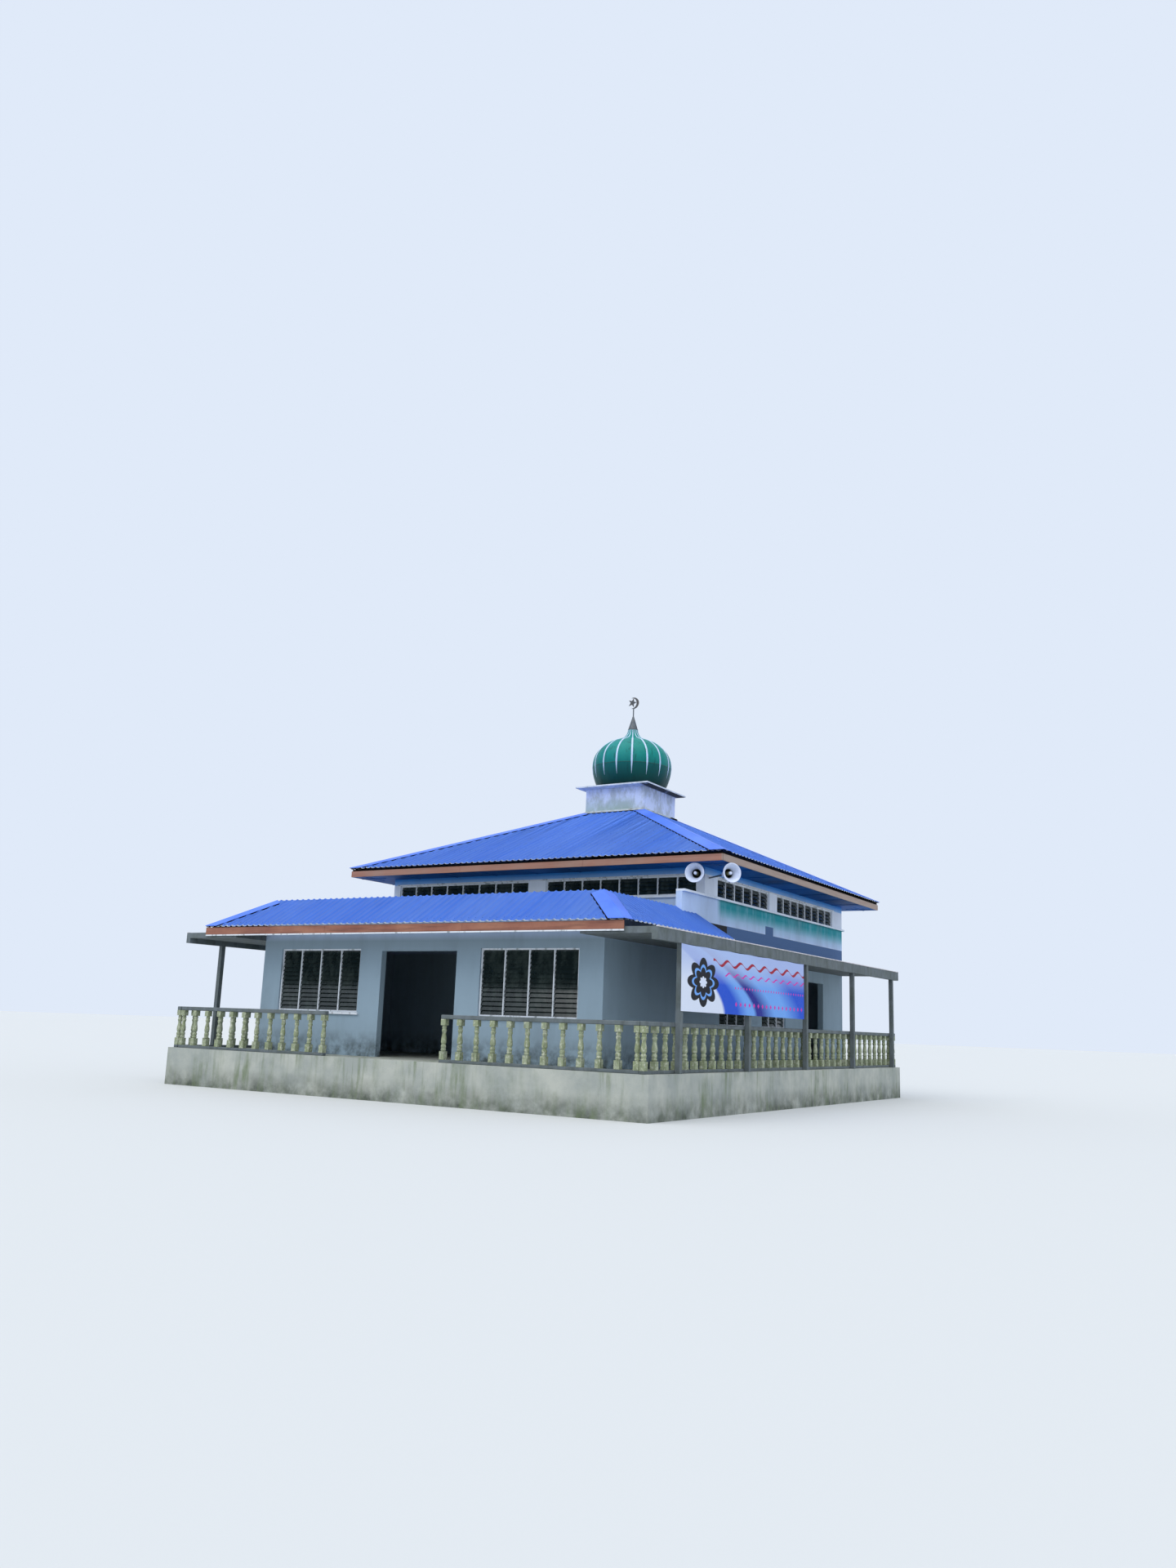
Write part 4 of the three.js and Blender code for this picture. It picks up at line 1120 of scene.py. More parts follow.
# White paint on glass fibre: clean and bright above, greyed by rain and by the dome's shade below.
strip_paint, tree, shader, place = new_material("white_paint_on_glass_fibre", roughness=0.45)
strip_shade = along_axis(tree, place, "Z", DOME_FOOT + STRIP_SHADE_HEAD, DOME_FOOT + STRIP_END, most=0.5)
coats(
    tree, shader, STRIP_WHITE,
    (blotches(tree, place, 120, 0.57, soft=0.1, stretch=(1.0, 1.0, 0.3), most=0.5), STRIP_GREY),
    (strip_shade, STRIP_SHADED),
)
strip_tree, given = growing_tree("strips_round_dome", ("Count", "Turn", "Flatness"))
line = add_node(strip_tree, "GeometryNodeMeshToCurve", {0: given["Points"]}).outputs[0]
width = {"Name": "half_width"}
width = add_node(strip_tree, "GeometryNodeInputNamedAttribute", width, data_type="FLOAT_VECTOR").outputs[0]
width = add_node(strip_tree, "ShaderNodeSeparateXYZ", {0: width}).outputs[0]
section = {"Resolution": STRIP_SIDES, "Radius": 1.0}
section = add_node(strip_tree, "GeometryNodeCurvePrimitiveCircle", section).outputs[0]
squash = add_node(strip_tree, "ShaderNodeCombineXYZ", {0: 1.0, 1: given["Flatness"], 2: 1.0}).outputs[0]
section = add_node(strip_tree, "GeometryNodeTransform", {"Geometry": section, "Scale": squash}).outputs[0]
swept = {"Curve": line, "Profile Curve": section, "Scale": width, "Fill Caps": True}
swept = add_node(strip_tree, "GeometryNodeCurveToMesh", swept).outputs[0]
number = add_node(strip_tree, "GeometryNodeInputIndex").outputs[0]
share = add_node(strip_tree, "ShaderNodeMath", {0: number, 1: given["Count"]}, operation="DIVIDE").outputs[0]
spin = {0: share, 1: 2 * math.pi, 2: given["Turn"]}
spin = add_node(strip_tree, "ShaderNodeMath", spin, operation="MULTIPLY_ADD").outputs[0]
spin = add_node(strip_tree, "ShaderNodeCombineXYZ", {2: spin}).outputs[0]
spots = {"Count": given["Count"], "Offset": (0, 0, 0)}
spots = add_node(strip_tree, "GeometryNodeMeshLine", spots).outputs[0]
round_dome = {"Points": spots, "Instance": swept, "Rotation": spin}
ends_in(strip_tree, add_node(strip_tree, "GeometryNodeInstanceOnPoints", round_dome).outputs[0], strip_paint)
strip_line = [(r - GORE_SWELL + STRIP_STANDS, 0, z) for r, z in skin if z > DOME_FOOT + STRIP_END]
strip_edges = [(i, i + 1) for i in range(len(strip_line) - 1)]
widths = []
for r, _, z in strip_line:
    taper = min(1.0, STRIP_TIP_SHARE + (z - DOME_FOOT - STRIP_END) / STRIP_TIP, STRIP_NECK_SHARE + r)
    widths.append((STRIP_HALF * taper, 0, 0))
values = {"Count": GORES, "Turn": GORE_TURN, "Flatness": STRIP_FLATNESS}
strip_mesh = grown("dome_strips", strip_tree, strip_line, values, edges=strip_edges, half_width=widths)
finished("dome_strips", strip_mesh, strip_paint, "dome", smooth=True)


# Spire
# A rolled cone of galvanised sheet over the dome's neck, seamed down its sides, with a steel mast
# that carries a cut plate star inside an open crescent, both in dull dark paint.
SPIRE_FOOT = 9.8206
SPIRE_LINE = ((0.137, 0.022), (0.014, 0.42), (0.014, 0.6414))
SPIRE_SIDES = 48
COLLAR_RADIUS = 0.143
COLLAR_HIGH = 0.0176
SEAM_HEIGHT = 0.004
SEAM_COUNT = 6
EMBLEM_LEVEL = 10.618
EMBLEM_THICK = 0.016
CRESCENT_OUTER = 0.166
CRESCENT_INNER = 0.150
CRESCENT_SHIFT = 0.055
CRESCENT_STEPS = 40
STAR_POINTS = 5
STAR_OUTER = 0.146
STAR_INNER = 0.054
STAR_AT = (-0.041, 0.018)
STAR_THICK = 0.0128
PLATE_EASING = 0.18
ZINC = "#666E76"
ZINC_DARK = "#40464C"
ZINC_RUST = "#7A5F4C"
FINIAL_GREY = "#4B5157"
FINIAL_RUST = "#6B5A4C"

# Galvanised sheet after years outside: a dull metal grey, clouded darker, with specks of rust.
zinc, tree, shader, place = new_material("weathered_galvanised_steel", roughness=0.48, metallic=0.55)
coats(
    tree, shader, ZINC,
    (blotches(tree, place, 60, 0.5, soft=0.15, stretch=(1.0, 1.0, 0.4), most=0.7), ZINC_DARK),
    (blotches(tree, place, 25, 0.62, soft=0.05), ZINC_RUST),
)
roughened(tree, shader, place, grain_mm=12, depth_mm=0.5)
cone = [(0.0, SPIRE_FOOT), (COLLAR_RADIUS, SPIRE_FOOT), (COLLAR_RADIUS, SPIRE_FOOT + COLLAR_HIGH)]
cone += [(r, SPIRE_FOOT + z) for r, z in SPIRE_LINE]
cone += [(0.0, SPIRE_FOOT + SPIRE_LINE[-1][1])]


def seam_swell(angle):
    """A folded seam stands out at each sixth of the cone."""
    share = (angle * SEAM_COUNT / (2 * math.pi)) % 1.0
    return SEAM_HEIGHT if share < 0.5 * SEAM_COUNT / SPIRE_SIDES else 0.0


finished("spire_cone", turned(cone, SPIRE_SIDES, seam_swell), zinc, "spire", "spire")

# Thin paint worn nearly through on cut plate: dark, half metallic, and brown at the worn places.
plate_paint, tree, shader, place = new_material("dull_paint_on_steel_plate", roughness=0.55, metallic=0.3)
coats(
    tree, shader, FINIAL_GREY,
    (blotches(tree, place, 40, 0.55, soft=0.1, most=0.7), FINIAL_RUST),
)


def plate(mesh, outline, thickness):
    """A flat plate with eased edges, standing in the XZ plane, from its outline."""
    front = [mesh.verts.new((x, -thickness / 2, z)) for x, z in outline]
    back = [mesh.verts.new((x, thickness / 2, z)) for x, z in outline]
    faces = [mesh.faces.new(front), mesh.faces.new(back[::-1])]
    count = len(outline)
    for i in range(count):
        faces.append(mesh.faces.new((front[i], back[i], back[(i + 1) % count], front[(i + 1) % count])))
    rims = {edge for face in faces[:2] for edge in face.edges}
    bmesh.ops.bevel(mesh, geom=list(rims), offset=thickness * PLATE_EASING, segments=1, affect="EDGES")


emblem = bmesh.new()
tip_x = (CRESCENT_INNER**2 - CRESCENT_OUTER**2 - CRESCENT_SHIFT**2) / (2 * CRESCENT_SHIFT)
outer_end = math.acos(tip_x / CRESCENT_OUTER)
inner_end = math.acos((tip_x + CRESCENT_SHIFT) / CRESCENT_INNER)
moon = []
for i in range(CRESCENT_STEPS + 1):
    angle = -outer_end + 2 * outer_end * i / CRESCENT_STEPS
    moon.append((CRESCENT_OUTER * math.cos(angle), CRESCENT_OUTER * math.sin(angle)))
for i in range(1, CRESCENT_STEPS):
    angle = inner_end - 2 * inner_end * i / CRESCENT_STEPS
    moon.append((CRESCENT_INNER * math.cos(angle) - CRESCENT_SHIFT, CRESCENT_INNER * math.sin(angle)))
plate(emblem, moon, EMBLEM_THICK)
star = []
for i in range(2 * STAR_POINTS):
    radius = STAR_INNER if i % 2 else STAR_OUTER
    angle = i * math.pi / STAR_POINTS
    star.append((STAR_AT[0] + radius * math.cos(angle), STAR_AT[1] + radius * math.sin(angle)))
plate(emblem, star, STAR_THICK)
bmesh.ops.translate(emblem, vec=(0, 0, EMBLEM_LEVEL), verts=emblem.verts[:])
bmesh.ops.recalc_face_normals(emblem, faces=emblem.faces[:])
finished("crescent_and_star", emblem, plate_paint, "spire")


# Horn loudspeakers
# Spun aluminium horns in light grey paint with a rolled rim. Each has a small inner horn in the
# middle of its throat, a housing and a round driver behind, and a pipe arm to the wall. The throat
# is painted dark and the inner horn olive deeper in, as painted shade inside the bell.
HORN_LEVEL = 4.945
HORNS = (("front_horn", (4.57, -5.19), 11.0), ("side_horn", (5.35, -4.93), 52.0))
HORN_LENGTH = 0.3
HORN_FLARE = ((0.206, 0.0), (0.172, 0.03), (0.142, 0.075), (0.118, 0.13), (0.1, 0.19), (0.092, 0.24))
FLARE_STEPS = 4
HORN_SKIN = 0.004
RIM = 0.012
THROAT_DEPTH = 0.03
HOUSING = (0.092, 0.082)
HOUSING_ROUNDING = 0.01
BULLET_LINE = ((0.0, 0.045), (0.024, 0.05), (0.035, 0.065), (0.037, 0.1), (0.042, 0.2), (0.05, 0.28))
DRIVER = 0.062
DRIVER_LENGTH = 0.09
DRIVER_ROUNDING = 0.01
ARM = 0.018
HORN_SIDES = 48
ARM_SIDES = 16
THROAT_SHADE_FADE = (0.15, 0.2)
BULLET_SHADE_FADE = (0.055, 0.12)
HORN_GREY = "#DAE4FA"
HORN_STAIN = "#A3ACB4"
THROAT_SHADE = "#1A2018"
BULLET_OLIVE_SHADE = "#7C7850"

# Stoved paint on spun aluminium: a smooth pale grey with a soft shine, and water stains across it.
horn_paint, tree, shader, place = new_material("grey_paint_on_spun_aluminium", roughness=0.4)
depth = add_node(tree, "ShaderNodeUVMap", uv_map="depth").outputs[0]
coats(
    tree, shader, HORN_GREY,
    (blotches(tree, place, 70, 0.57, soft=0.12, most=0.35), HORN_STAIN),
    # Painted shade: dark deep in the bell, and olive along the inner horn as it goes in.
    (along_axis(tree, depth, "X", *THROAT_SHADE_FADE), THROAT_SHADE),
    (along_axis(tree, depth, "Y", *BULLET_SHADE_FADE), BULLET_OLIVE_SHADE),
)
roughened(tree, shader, place, grain_mm=60, depth_mm=0.2)


def with_depth(mesh, in_bell, in_bullet):
    """Notes on each corner how deep it lies inside the bell or along the inner horn, for the painted shade
    there.
    """
    uv = mesh.loops.layers.uv.new("depth")
    for face in mesh.faces:
        bell_share = 1.0 if in_bell(face) else 0.0
        for loop in face.loops:
            loop[uv].uv = loop.vert.co.z * bell_share, loop.vert.co.z * in_bullet
    return mesh


for name, (mouth_x, mouth_y), heading in HORNS:
    turn = math.radians(heading)
    lying = Matrix.Translation((mouth_x, mouth_y, HORN_LEVEL))
    lying = lying @ Matrix.Rotation(turn, 4, "Z") @ Matrix.Rotation(-math.pi / 2, 4, "X")
    flare = [(v.x, v.y) for v in smooth_line(HORN_FLARE, FLARE_STEPS)]
    inside = [(r - HORN_SKIN, z) for r, z in flare]
    rim = [
        (flare[0][0] + RIM * math.sin(t), RIM * (1.0 - math.cos(t)) * 0.5)
        for t in (math.pi * k / 6 for k in range(1, 6))
    ]
    housing = [(HOUSING[0], HORN_LENGTH - HOUSING_ROUNDING), (HOUSING[1], HORN_LENGTH), (0.0, HORN_LENGTH)]
    throat_radius, throat_end = inside[-1][0], inside[-1][1] + THROAT_DEPTH
    throat = [(0.0, throat_end), (throat_radius, throat_end)]
    bell = turned(throat + inside[::-1] + rim + flare[1:] + housing, HORN_SIDES)
    with_depth(bell, lambda face: face.calc_center_median().xy.dot(face.normal.xy) <= 0.0, 0.0)
    driver_end = HORN_LENGTH + DRIVER_LENGTH
    driver = turned((
        (0.0, HORN_LENGTH), (DRIVER, HORN_LENGTH), (DRIVER, driver_end - DRIVER_ROUNDING),
        (DRIVER - DRIVER_ROUNDING, driver_end), (0.0, driver_end),
    ), HORN_SIDES)
    bullet = turned(BULLET_LINE + ((0.0, BULLET_LINE[-1][1]),), HORN_SIDES)
    with_depth(driver, lambda face: False, 0.0)
    with_depth(bullet, lambda face: False, 1.0)
    back = Vector((-math.sin(turn), math.cos(turn)))
    if name == "front_horn":
        reach = (hall_front - ARM * abs(back.x) - mouth_y) / back.y
    else:
        reach = (-hall_front + ARM * abs(back.y) - mouth_x) / back.x
    arm = turned(((0.0, driver_end), (ARM, driver_end), (ARM, reach), (0.0, reach)), ARM_SIDES)
    for shape, tail, surface in (
        (bell, "bell", horn_paint), (bullet, "inner_horn", horn_paint),
        (driver, "driver", horn_paint), (arm, "arm", zinc),
    ):
        bmesh.ops.transform(shape, matrix=lying, verts=shape.verts[:])
        stands_for = (name,) if tail == "bell" else ()
        finished(f"{name}_{tail}", shape, surface, "horn", *stands_for, smooth=tail != "driver")


# Porch roof sheets and caps
# The same ribbed sheet laid to a shallow pitch round three sides of the porch, hipped at the front
# corners and cut short where the hall's wing walls stand.
skirt_low, skirt_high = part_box("front_skirt_roof")
side_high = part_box("right_skirt_roof")[1]
SKIRT_EAVE = side_high.x
skirt_run = skirt_high.y - skirt_low.y
SKIRT_RISE = (skirt_high.z - skirt_low.z - PLATE) / skirt_run
skirt_level = skirt_low.z + PLATE
WING_GAP = 0.004
WING_STEP = 0.002
CAP_SHORT = 0.02
wing_run = SKIRT_EAVE + hall_front - WING_GAP


def side_run(y):
    """How far the side skirt runs in at a place along the building: to the hip, the deck or the wing."""
    hip = y - skirt_low.y - HIP_GAP
    return min(hip, skirt_run if y < WING_FRONT - WING_STEP / 2 else wing_run)


skirt_slopes = {
    "front": (
        Matrix.Translation((0, skirt_low.y, skirt_level)),
        -SKIRT_EAVE, SKIRT_EAVE, lambda u: min(skirt_run, SKIRT_EAVE - abs(u) - HIP_GAP),
        (skirt_run - SKIRT_EAVE, SKIRT_EAVE - skirt_run),
    ),
    "right": (
        Matrix.Rotation(math.pi / 2, 4, "Z") @ Matrix.Translation((0, -SKIRT_EAVE, skirt_level)),
        skirt_low.y, side_high.y, side_run,
        (skirt_low.y + skirt_run, WING_FRONT - WING_STEP, WING_FRONT),
    ),
    "left": (
        Matrix.Rotation(-math.pi / 2, 4, "Z") @ Matrix.Translation((0, -SKIRT_EAVE, skirt_level)),
        -side_high.y, -skirt_low.y, lambda u: side_run(-u),
        (-skirt_low.y - skirt_run, WING_STEP - WING_FRONT, -WING_FRONT),
    ),
}
places, directions = [], []
for side, (space, start, end, run, kinks) in skirt_slopes.items():
    sheet = ribbed_sheet(space, start, end, run, SKIRT_RISE, kinks)
    finished(f"{side}_porch_roof_sheets", sheet, roof_paint, "roof_sheet", f"{side}_skirt_roof")
    more_places, more_directions = screw_points(space, start, end, run, SKIRT_RISE)
    places += more_places
    directions += more_directions
screw_mesh = grown("porch_roof_screws", screws, places, screw_sizes, facing=directions)
finished("porch_roof_screws", screw_mesh, steel, "roof_sheet")
for side, turn in (("right", 1), ("left", -1)):
    low = Vector((turn * SKIRT_EAVE, skirt_low.y, skirt_level))
    reach = skirt_run - CAP_SHORT
    high = low + Vector((-turn * reach, reach, reach * SKIRT_RISE))
    finish_hip(f"{side}_porch_hip_cap", low, high, SKIRT_RISE, Matrix.Identity(4))


# Porch fascia
# One run of planed boards under the front edge of the porch roof, in red-brown gloss that has faded
# unevenly, with a thin white batten under it.
FASCIA_RED = "#80483A"
FASCIA_RED_FADED = "#A9775C"
FASCIA_RED_DARK = "#5A3228"
PORCH_BOARDS = 3
BATTEN = 0.03
BATTEN_NEAR = 0.002
BATTEN_FAR = 0.022
BATTEN_GAP = 0.001
porch_fascia_low, porch_fascia_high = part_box("porch_fascia")

# Oil gloss, sun-faded on planed boards: half its shine gone, paler in clouds and dark in the grain.
red_gloss, tree, shader, place = new_material("faded_red_gloss_on_timber", roughness=0.55)
coats(
    tree, shader, FASCIA_RED,
    (blotches(tree, place, 800, 0.48, soft=0.2, most=0.7), FASCIA_RED_FADED),
    (blotches(tree, place, 70, 0.55, soft=0.1, stretch=GRAIN, most=0.6), FASCIA_RED_DARK),
)
roughened(tree, shader, place, grain_mm=12, depth_mm=0.8)
boards = bmesh.new()
length = (porch_fascia_high.x - porch_fascia_low.x) / PORCH_BOARDS
for i in range(PORCH_BOARDS):
    start = porch_fascia_low.x + i * length + CRACK / 2
    low = (start, porch_fascia_low.y, porch_fascia_low.z)
    add_board(boards, low, (start + length - CRACK, porch_fascia_high.y, porch_fascia_high.z))
finished("porch_fascia_boards", boards, red_gloss, "lower_fascia", "porch_fascia")
batten = bmesh.new()
batten_ends = (
    (porch_fascia_low.x, porch_fascia_low.y + BATTEN_NEAR, porch_fascia_low.z - BATTEN),
    (porch_fascia_high.x, porch_fascia_low.y + BATTEN_FAR, porch_fascia_low.z - BATTEN_GAP),
)
add_board(batten, *batten_ends)
finished("porch_fascia_batten", batten, gloss, "lower_fascia")


# Verandah canopies
# Slab, edge beam and posts cast as one in concrete that was never painted, like the flat deck over
# the porch: grey, with black mould, green algae, pale lime bloom, and a fine joint where each pour
# ended. A pale cement fillet runs along each slab's outer edge.
CONCRETE = "#5E676D"
CONCRETE_PALE = "#778086"
CONCRETE_ALGAE = "#545E54"
CONCRETE_MOULD = "#3A403C"
FILLET_PALE = "#CFCBD0"
FILLET_GREY = "#9A9A98"
POUR_LENGTH = 3.2
POUR_JOINT = (0.012, 0.006)
FILLET_HEIGHT = 0.02
FILLET_WIDTH = 0.03
FILLET_PAST = 0.008
canopy_low, canopy_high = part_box("right_canopy")

# Concrete as it left rough boards: sandy, dull and mid grey, clouded by what grows and dries on it.
raw_concrete, tree, shader, place = new_material("weathered_cast_concrete", roughness=0.9)
along = add_node(tree, "ShaderNodeSeparateXYZ", {0: place}).outputs["Y"]
pour = add_node(tree, "ShaderNodeMath", {0: along, 1: POUR_LENGTH}, operation="PINGPONG").outputs[0]
joint = {"Value": pour, "From Min": POUR_JOINT[0], "From Max": POUR_JOINT[1]}
joint = add_node(tree, "ShaderNodeMapRange", joint).outputs[0]
coats(
    tree, shader, CONCRETE,
    (blotches(tree, place, 600, 0.5, soft=0.2, most=0.5), CONCRETE_PALE),
    (blotches(tree, place, 320, 0.52, soft=0.15, most=0.5), CONCRETE_ALGAE),
    (blotches(tree, place, 150, 0.58, soft=0.14, stretch=(1.0, 1.0, 0.5), most=0.5), CONCRETE_MOULD),
    (joint, CONCRETE_MOULD),
)
roughened(tree, shader, place, grain_mm=20, depth_mm=3)
dress(raw_concrete, "concrete", "right_canopy", "left_canopy")
dress(raw_concrete, "slab", "porch_deck")

# Cement trowelled smooth: much paler than the slab and a little less rough, with grey dirt.
fillet_cement, tree, shader, place = new_material("pale_cement_fillet", roughness=0.7)
coats(
    tree, shader, FILLET_PALE,
    (blotches(tree, place, 160, 0.55, soft=0.1, most=0.6), FILLET_GREY),
)
fillets = bmesh.new()
for way in (1, -1):
    left, right = sorted((way * (canopy_high.x - FILLET_WIDTH), way * (canopy_high.x + FILLET_PAST)))
    foot = canopy_high.z - FILLET_PAST
    ends = (left, canopy_low.y - FILLET_PAST, foot), (right, canopy_high.y, foot + FILLET_HEIGHT)
    add_board(fillets, *ends)
finished("canopy_edge_fillets", fillets, fillet_cement, "concrete")


# Balustrades
# Balusters cast in white cement in a turned vase shape with square ends, set between a foot rail and
# a top rail of grey concrete. Yellow-green algae has grown over the balusters.
BALUSTER_PITCH = 0.4
BLOCK = 0.124
RAIL_HEIGHT = 0.08
FOOT_RAIL = 0.06
TOP_RAIL_ROUNDING = 0.012
FOOT_RAIL_ROUNDING = 0.008
BALUSTER_STEPS = 30
BALUSTER_SIDES = 12
BALUSTER_SHAPE = (
    (0.0, 0.62), (0.20, 0.62), (0.22, 0.98), (0.265, 0.98), (0.285, 0.6), (0.31, 0.94), (0.355, 0.94),
    (0.375, 0.62), (0.42, 1.0), (0.50, 0.97), (0.60, 0.74), (0.675, 0.6), (0.70, 0.92), (0.745, 0.92),
    (0.765, 0.58), (0.79, 0.84), (0.82, 0.84), (0.84, 0.62), (1.0, 0.62),
)
BLOCK_SHARES = ((0.0, 0.205), (0.845, 1.0))
CAST_CEMENT = "#959E84"
CAST_ALGAE = "#727D50"
CAST_BLOOM = "#D3D4C4"
CAST_BLACK = "#2E332B"

# White cement out of a mould: finely pitted and matt, stained in patches that follow the rain.
cast_cement, tree, shader, place = new_material("algae_on_cast_cement", roughness=0.85)
coats(
    tree, shader, CAST_CEMENT,
    (blotches(tree, place, 300, 0.5, soft=0.15, most=0.6), CAST_ALGAE),
    (blotches(tree, place, 50, 0.58, soft=0.08, most=0.6), CAST_BLOOM),
    (blotches(tree, place, 70, 0.6, soft=0.1, stretch=(1.0, 1.0, 0.4), most=0.45), CAST_BLACK),
)
roughened(tree, shader, place, grain_mm=14, depth_mm=2)

vases, given = growing_tree("baluster_row", ("Height", "Block"))
top = add_node(vases, "ShaderNodeCombineXYZ", {2: given["Height"]}).outputs[0]
axis = add_node(vases, "GeometryNodeCurvePrimitiveLine", {"End": top}).outputs[0]
axis = add_node(vases, "GeometryNodeResampleCurve", {"Curve": axis, "Count": BALUSTER_STEPS}).outputs[0]
share = add_node(vases, "GeometryNodeSplineParameter").outputs["Factor"]
shape = add_node(vases, "ShaderNodeFloatCurve", {"Value": share})
points = shape.mapping.curves[0].points
for number, spot in enumerate(BALUSTER_SHAPE):
    point = points[number] if number < 2 else points.new(*spot)
    point.location = spot
    point.handle_type = "VECTOR"
shape.mapping.update()
half_block = add_node(vases, "ShaderNodeMath", {0: given["Block"], 1: 0.5}, operation="MULTIPLY").outputs[0]
girth = {0: shape.outputs[0], 1: half_block}
girth = add_node(vases, "ShaderNodeMath", girth, operation="MULTIPLY").outputs[0]
ring = {"Resolution": BALUSTER_SIDES, "Radius": 1.0}
ring = add_node(vases, "GeometryNodeCurvePrimitiveCircle", ring).outputs[0]
vase = {"Curve": axis, "Profile Curve": ring, "Scale": girth, "Fill Caps": True}
vase = add_node(vases, "GeometryNodeCurveToMesh", vase).outputs[0]
whole = add_node(vases, "GeometryNodeJoinGeometry")
vases.links.new(vase, whole.inputs[0])
for low_share, high_share in BLOCK_SHARES:
    part = {0: given["Height"], 1: high_share - low_share}
    part = add_node(vases, "ShaderNodeMath", part, operation="MULTIPLY").outputs[0]
    size = add_node(vases, "ShaderNodeCombineXYZ", {0: given["Block"], 1: given["Block"], 2: part}).outputs[0]
    middle = {0: given["Height"], 1: (high_share + low_share) / 2}
    middle = add_node(vases, "ShaderNodeMath", middle, operation="MULTIPLY").outputs[0]
    lift = add_node(vases, "ShaderNodeCombineXYZ", {2: middle}).outputs[0]
    cube = add_node(vases, "GeometryNodeMeshCube", {"Size": size}).outputs[0]
    cube = add_node(vases, "GeometryNodeTransform", {"Geometry": cube, "Translation": lift}).outputs[0]
    vases.links.new(cube, whole.inputs[0])
planted = {"Points": given["Points"], "Instance": whole.outputs[0]}
ends_in(vases, add_node(vases, "GeometryNodeInstanceOnPoints", planted).outputs[0], cast_cement)

for name in ("right_balustrade", "left_balustrade", "front_right_balustrade", "front_left_balustrade"):
    low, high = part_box(name)
    lengthwise = 1 if high.y - low.y > high.x - low.x else 0
    start, end = low[lengthwise] + BLOCK / 2, high[lengthwise] - BLOCK / 2
    count = round((end - start) / BALUSTER_PITCH)
    feet = []
    for i in range(count + 1):
        foot = (low + high) / 2
        foot[lengthwise] = start + (end - start) * i / count
        foot.z = low.z + FOOT_RAIL
        feet.append(foot)
    width = (high - low)[1 - lengthwise]
    sizes = {"Height": high.z - RAIL_HEIGHT - low.z - FOOT_RAIL, "Block": min(BLOCK, width)}
    row = grown(f"{name}_balusters", vases, feet, sizes)
    finished(f"{name}_balusters", row, cast_cement, "baluster", name)
    rails = bmesh.new()
    add_board(rails, (low.x, low.y, high.z - RAIL_HEIGHT), high, rounding=TOP_RAIL_ROUNDING)
    add_board(rails, low, (high.x, high.y, low.z + FOOT_RAIL), rounding=FOOT_RAIL_ROUNDING)
    finished(f"{name}_rails", rails, raw_concrete, "baluster")


# Banner
# A cloth-backed vinyl banner hung under the right canopy's beam. It is held about every metre along
# its top edge, slack between those places and rippled below. Its print is a plain one: a dark rosette
# on white, blue sweeps under a pale top, two wavy ribbons and two rows of lozenges.
BANNER_COLUMNS = 160
BANNER_ROWS = 32
HELD_EVERY = 1.02
SLACK_DROP = 0.012
SLACK_SHARE = 0.4
RIPPLE = 0.018
RIPPLE_STRETCH = (1.3, 1.1)
RIPPLE_SEED = 3.0
CLOTH_GAP = 0.002
CLOTH_BEHIND = 0.006
THREAD_MM = 2.618
THREAD_DEPTH_MM = 0.4
WAVE_TURN = 20
PRINT_WHITE = "#DCE4F4"
PRINT_PALE = "#6FA6EE"
PRINT_MIST = "#B4C4EA"
PRINT_BLUE = "#1450CC"
PRINT_DEEP = "#121E8C"
PRINT_NAVY = "#070A18"
PRINT_MAROON = "#A01030"
PRINT_PINK = "#D030A4"
SWEEPS = (
    (1.8, 1.5, 0.12, PRINT_BLUE), (2.5, 1.7, 0.5, PRINT_PALE), (3.3, 1.9, 0.16, PRINT_DEEP),
    (3.7, 2.1, 0.7, PRINT_PALE), (5.0, 1.6, 0.9, PRINT_BLUE),
)
SWEEP_BEND = 1.7
MIST_FOOT = 0.55
MIST_HEAD = 1.0
ROSETTE_AT = (0.92, 0.56)
ROSETTE_RINGS = (
    (0.46, PRINT_NAVY), (0.3312, PRINT_PALE), (0.276, PRINT_NAVY), (0.1104, PRINT_WHITE),
)
ROSETTE_SQUASH = 0.68
PETALS = 8
PETAL_DEPTH = 0.3
RIBBONS = ((1.35, 0.97, 0.62, 0.05, 0.022, PRINT_MAROON), (1.9, 0.76, 0.4, 0.03, 0.012, PRINT_PINK))
RIBBON_SWELL = 0.7
LOZENGE_ROWS = ((2.3, 0.52, 0.14, 0.03), (2.3, 0.2, 0.22, 0.05))
banner_low, banner_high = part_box("banner")
banner_length = banner_high.y - banner_low.y
banner_height = banner_high.z - banner_low.z


def sweep(tree, axes, start, rise, soft):
    """Everything past a leaning, bending line across the print."""
    bend = add_node(tree, "ShaderNodeMath", {0: axes["Y"], 1: SWEEP_BEND}, operation="POWER").outputs[0]
    lean = {0: bend, 1: rise, 2: axes["X"]}
    lean = add_node(tree, "ShaderNodeMath", lean, operation="MULTIPLY_ADD").outputs[0]
    limits = {"Value": lean, "From Min": start, "From Max": start + soft}
    return add_node(tree, "ShaderNodeMapRange", limits).outputs[0]


def beyond(tree, axes, start, mask):
    """A mask only from a place along the print onwards."""
    past = add_node(tree, "ShaderNodeMath", {0: axes["X"], 1: start}, operation="GREATER_THAN").outputs[0]
    return add_node(tree, "ShaderNodeMath", {0: past, 1: mask}, operation="MULTIPLY").outputs[0]


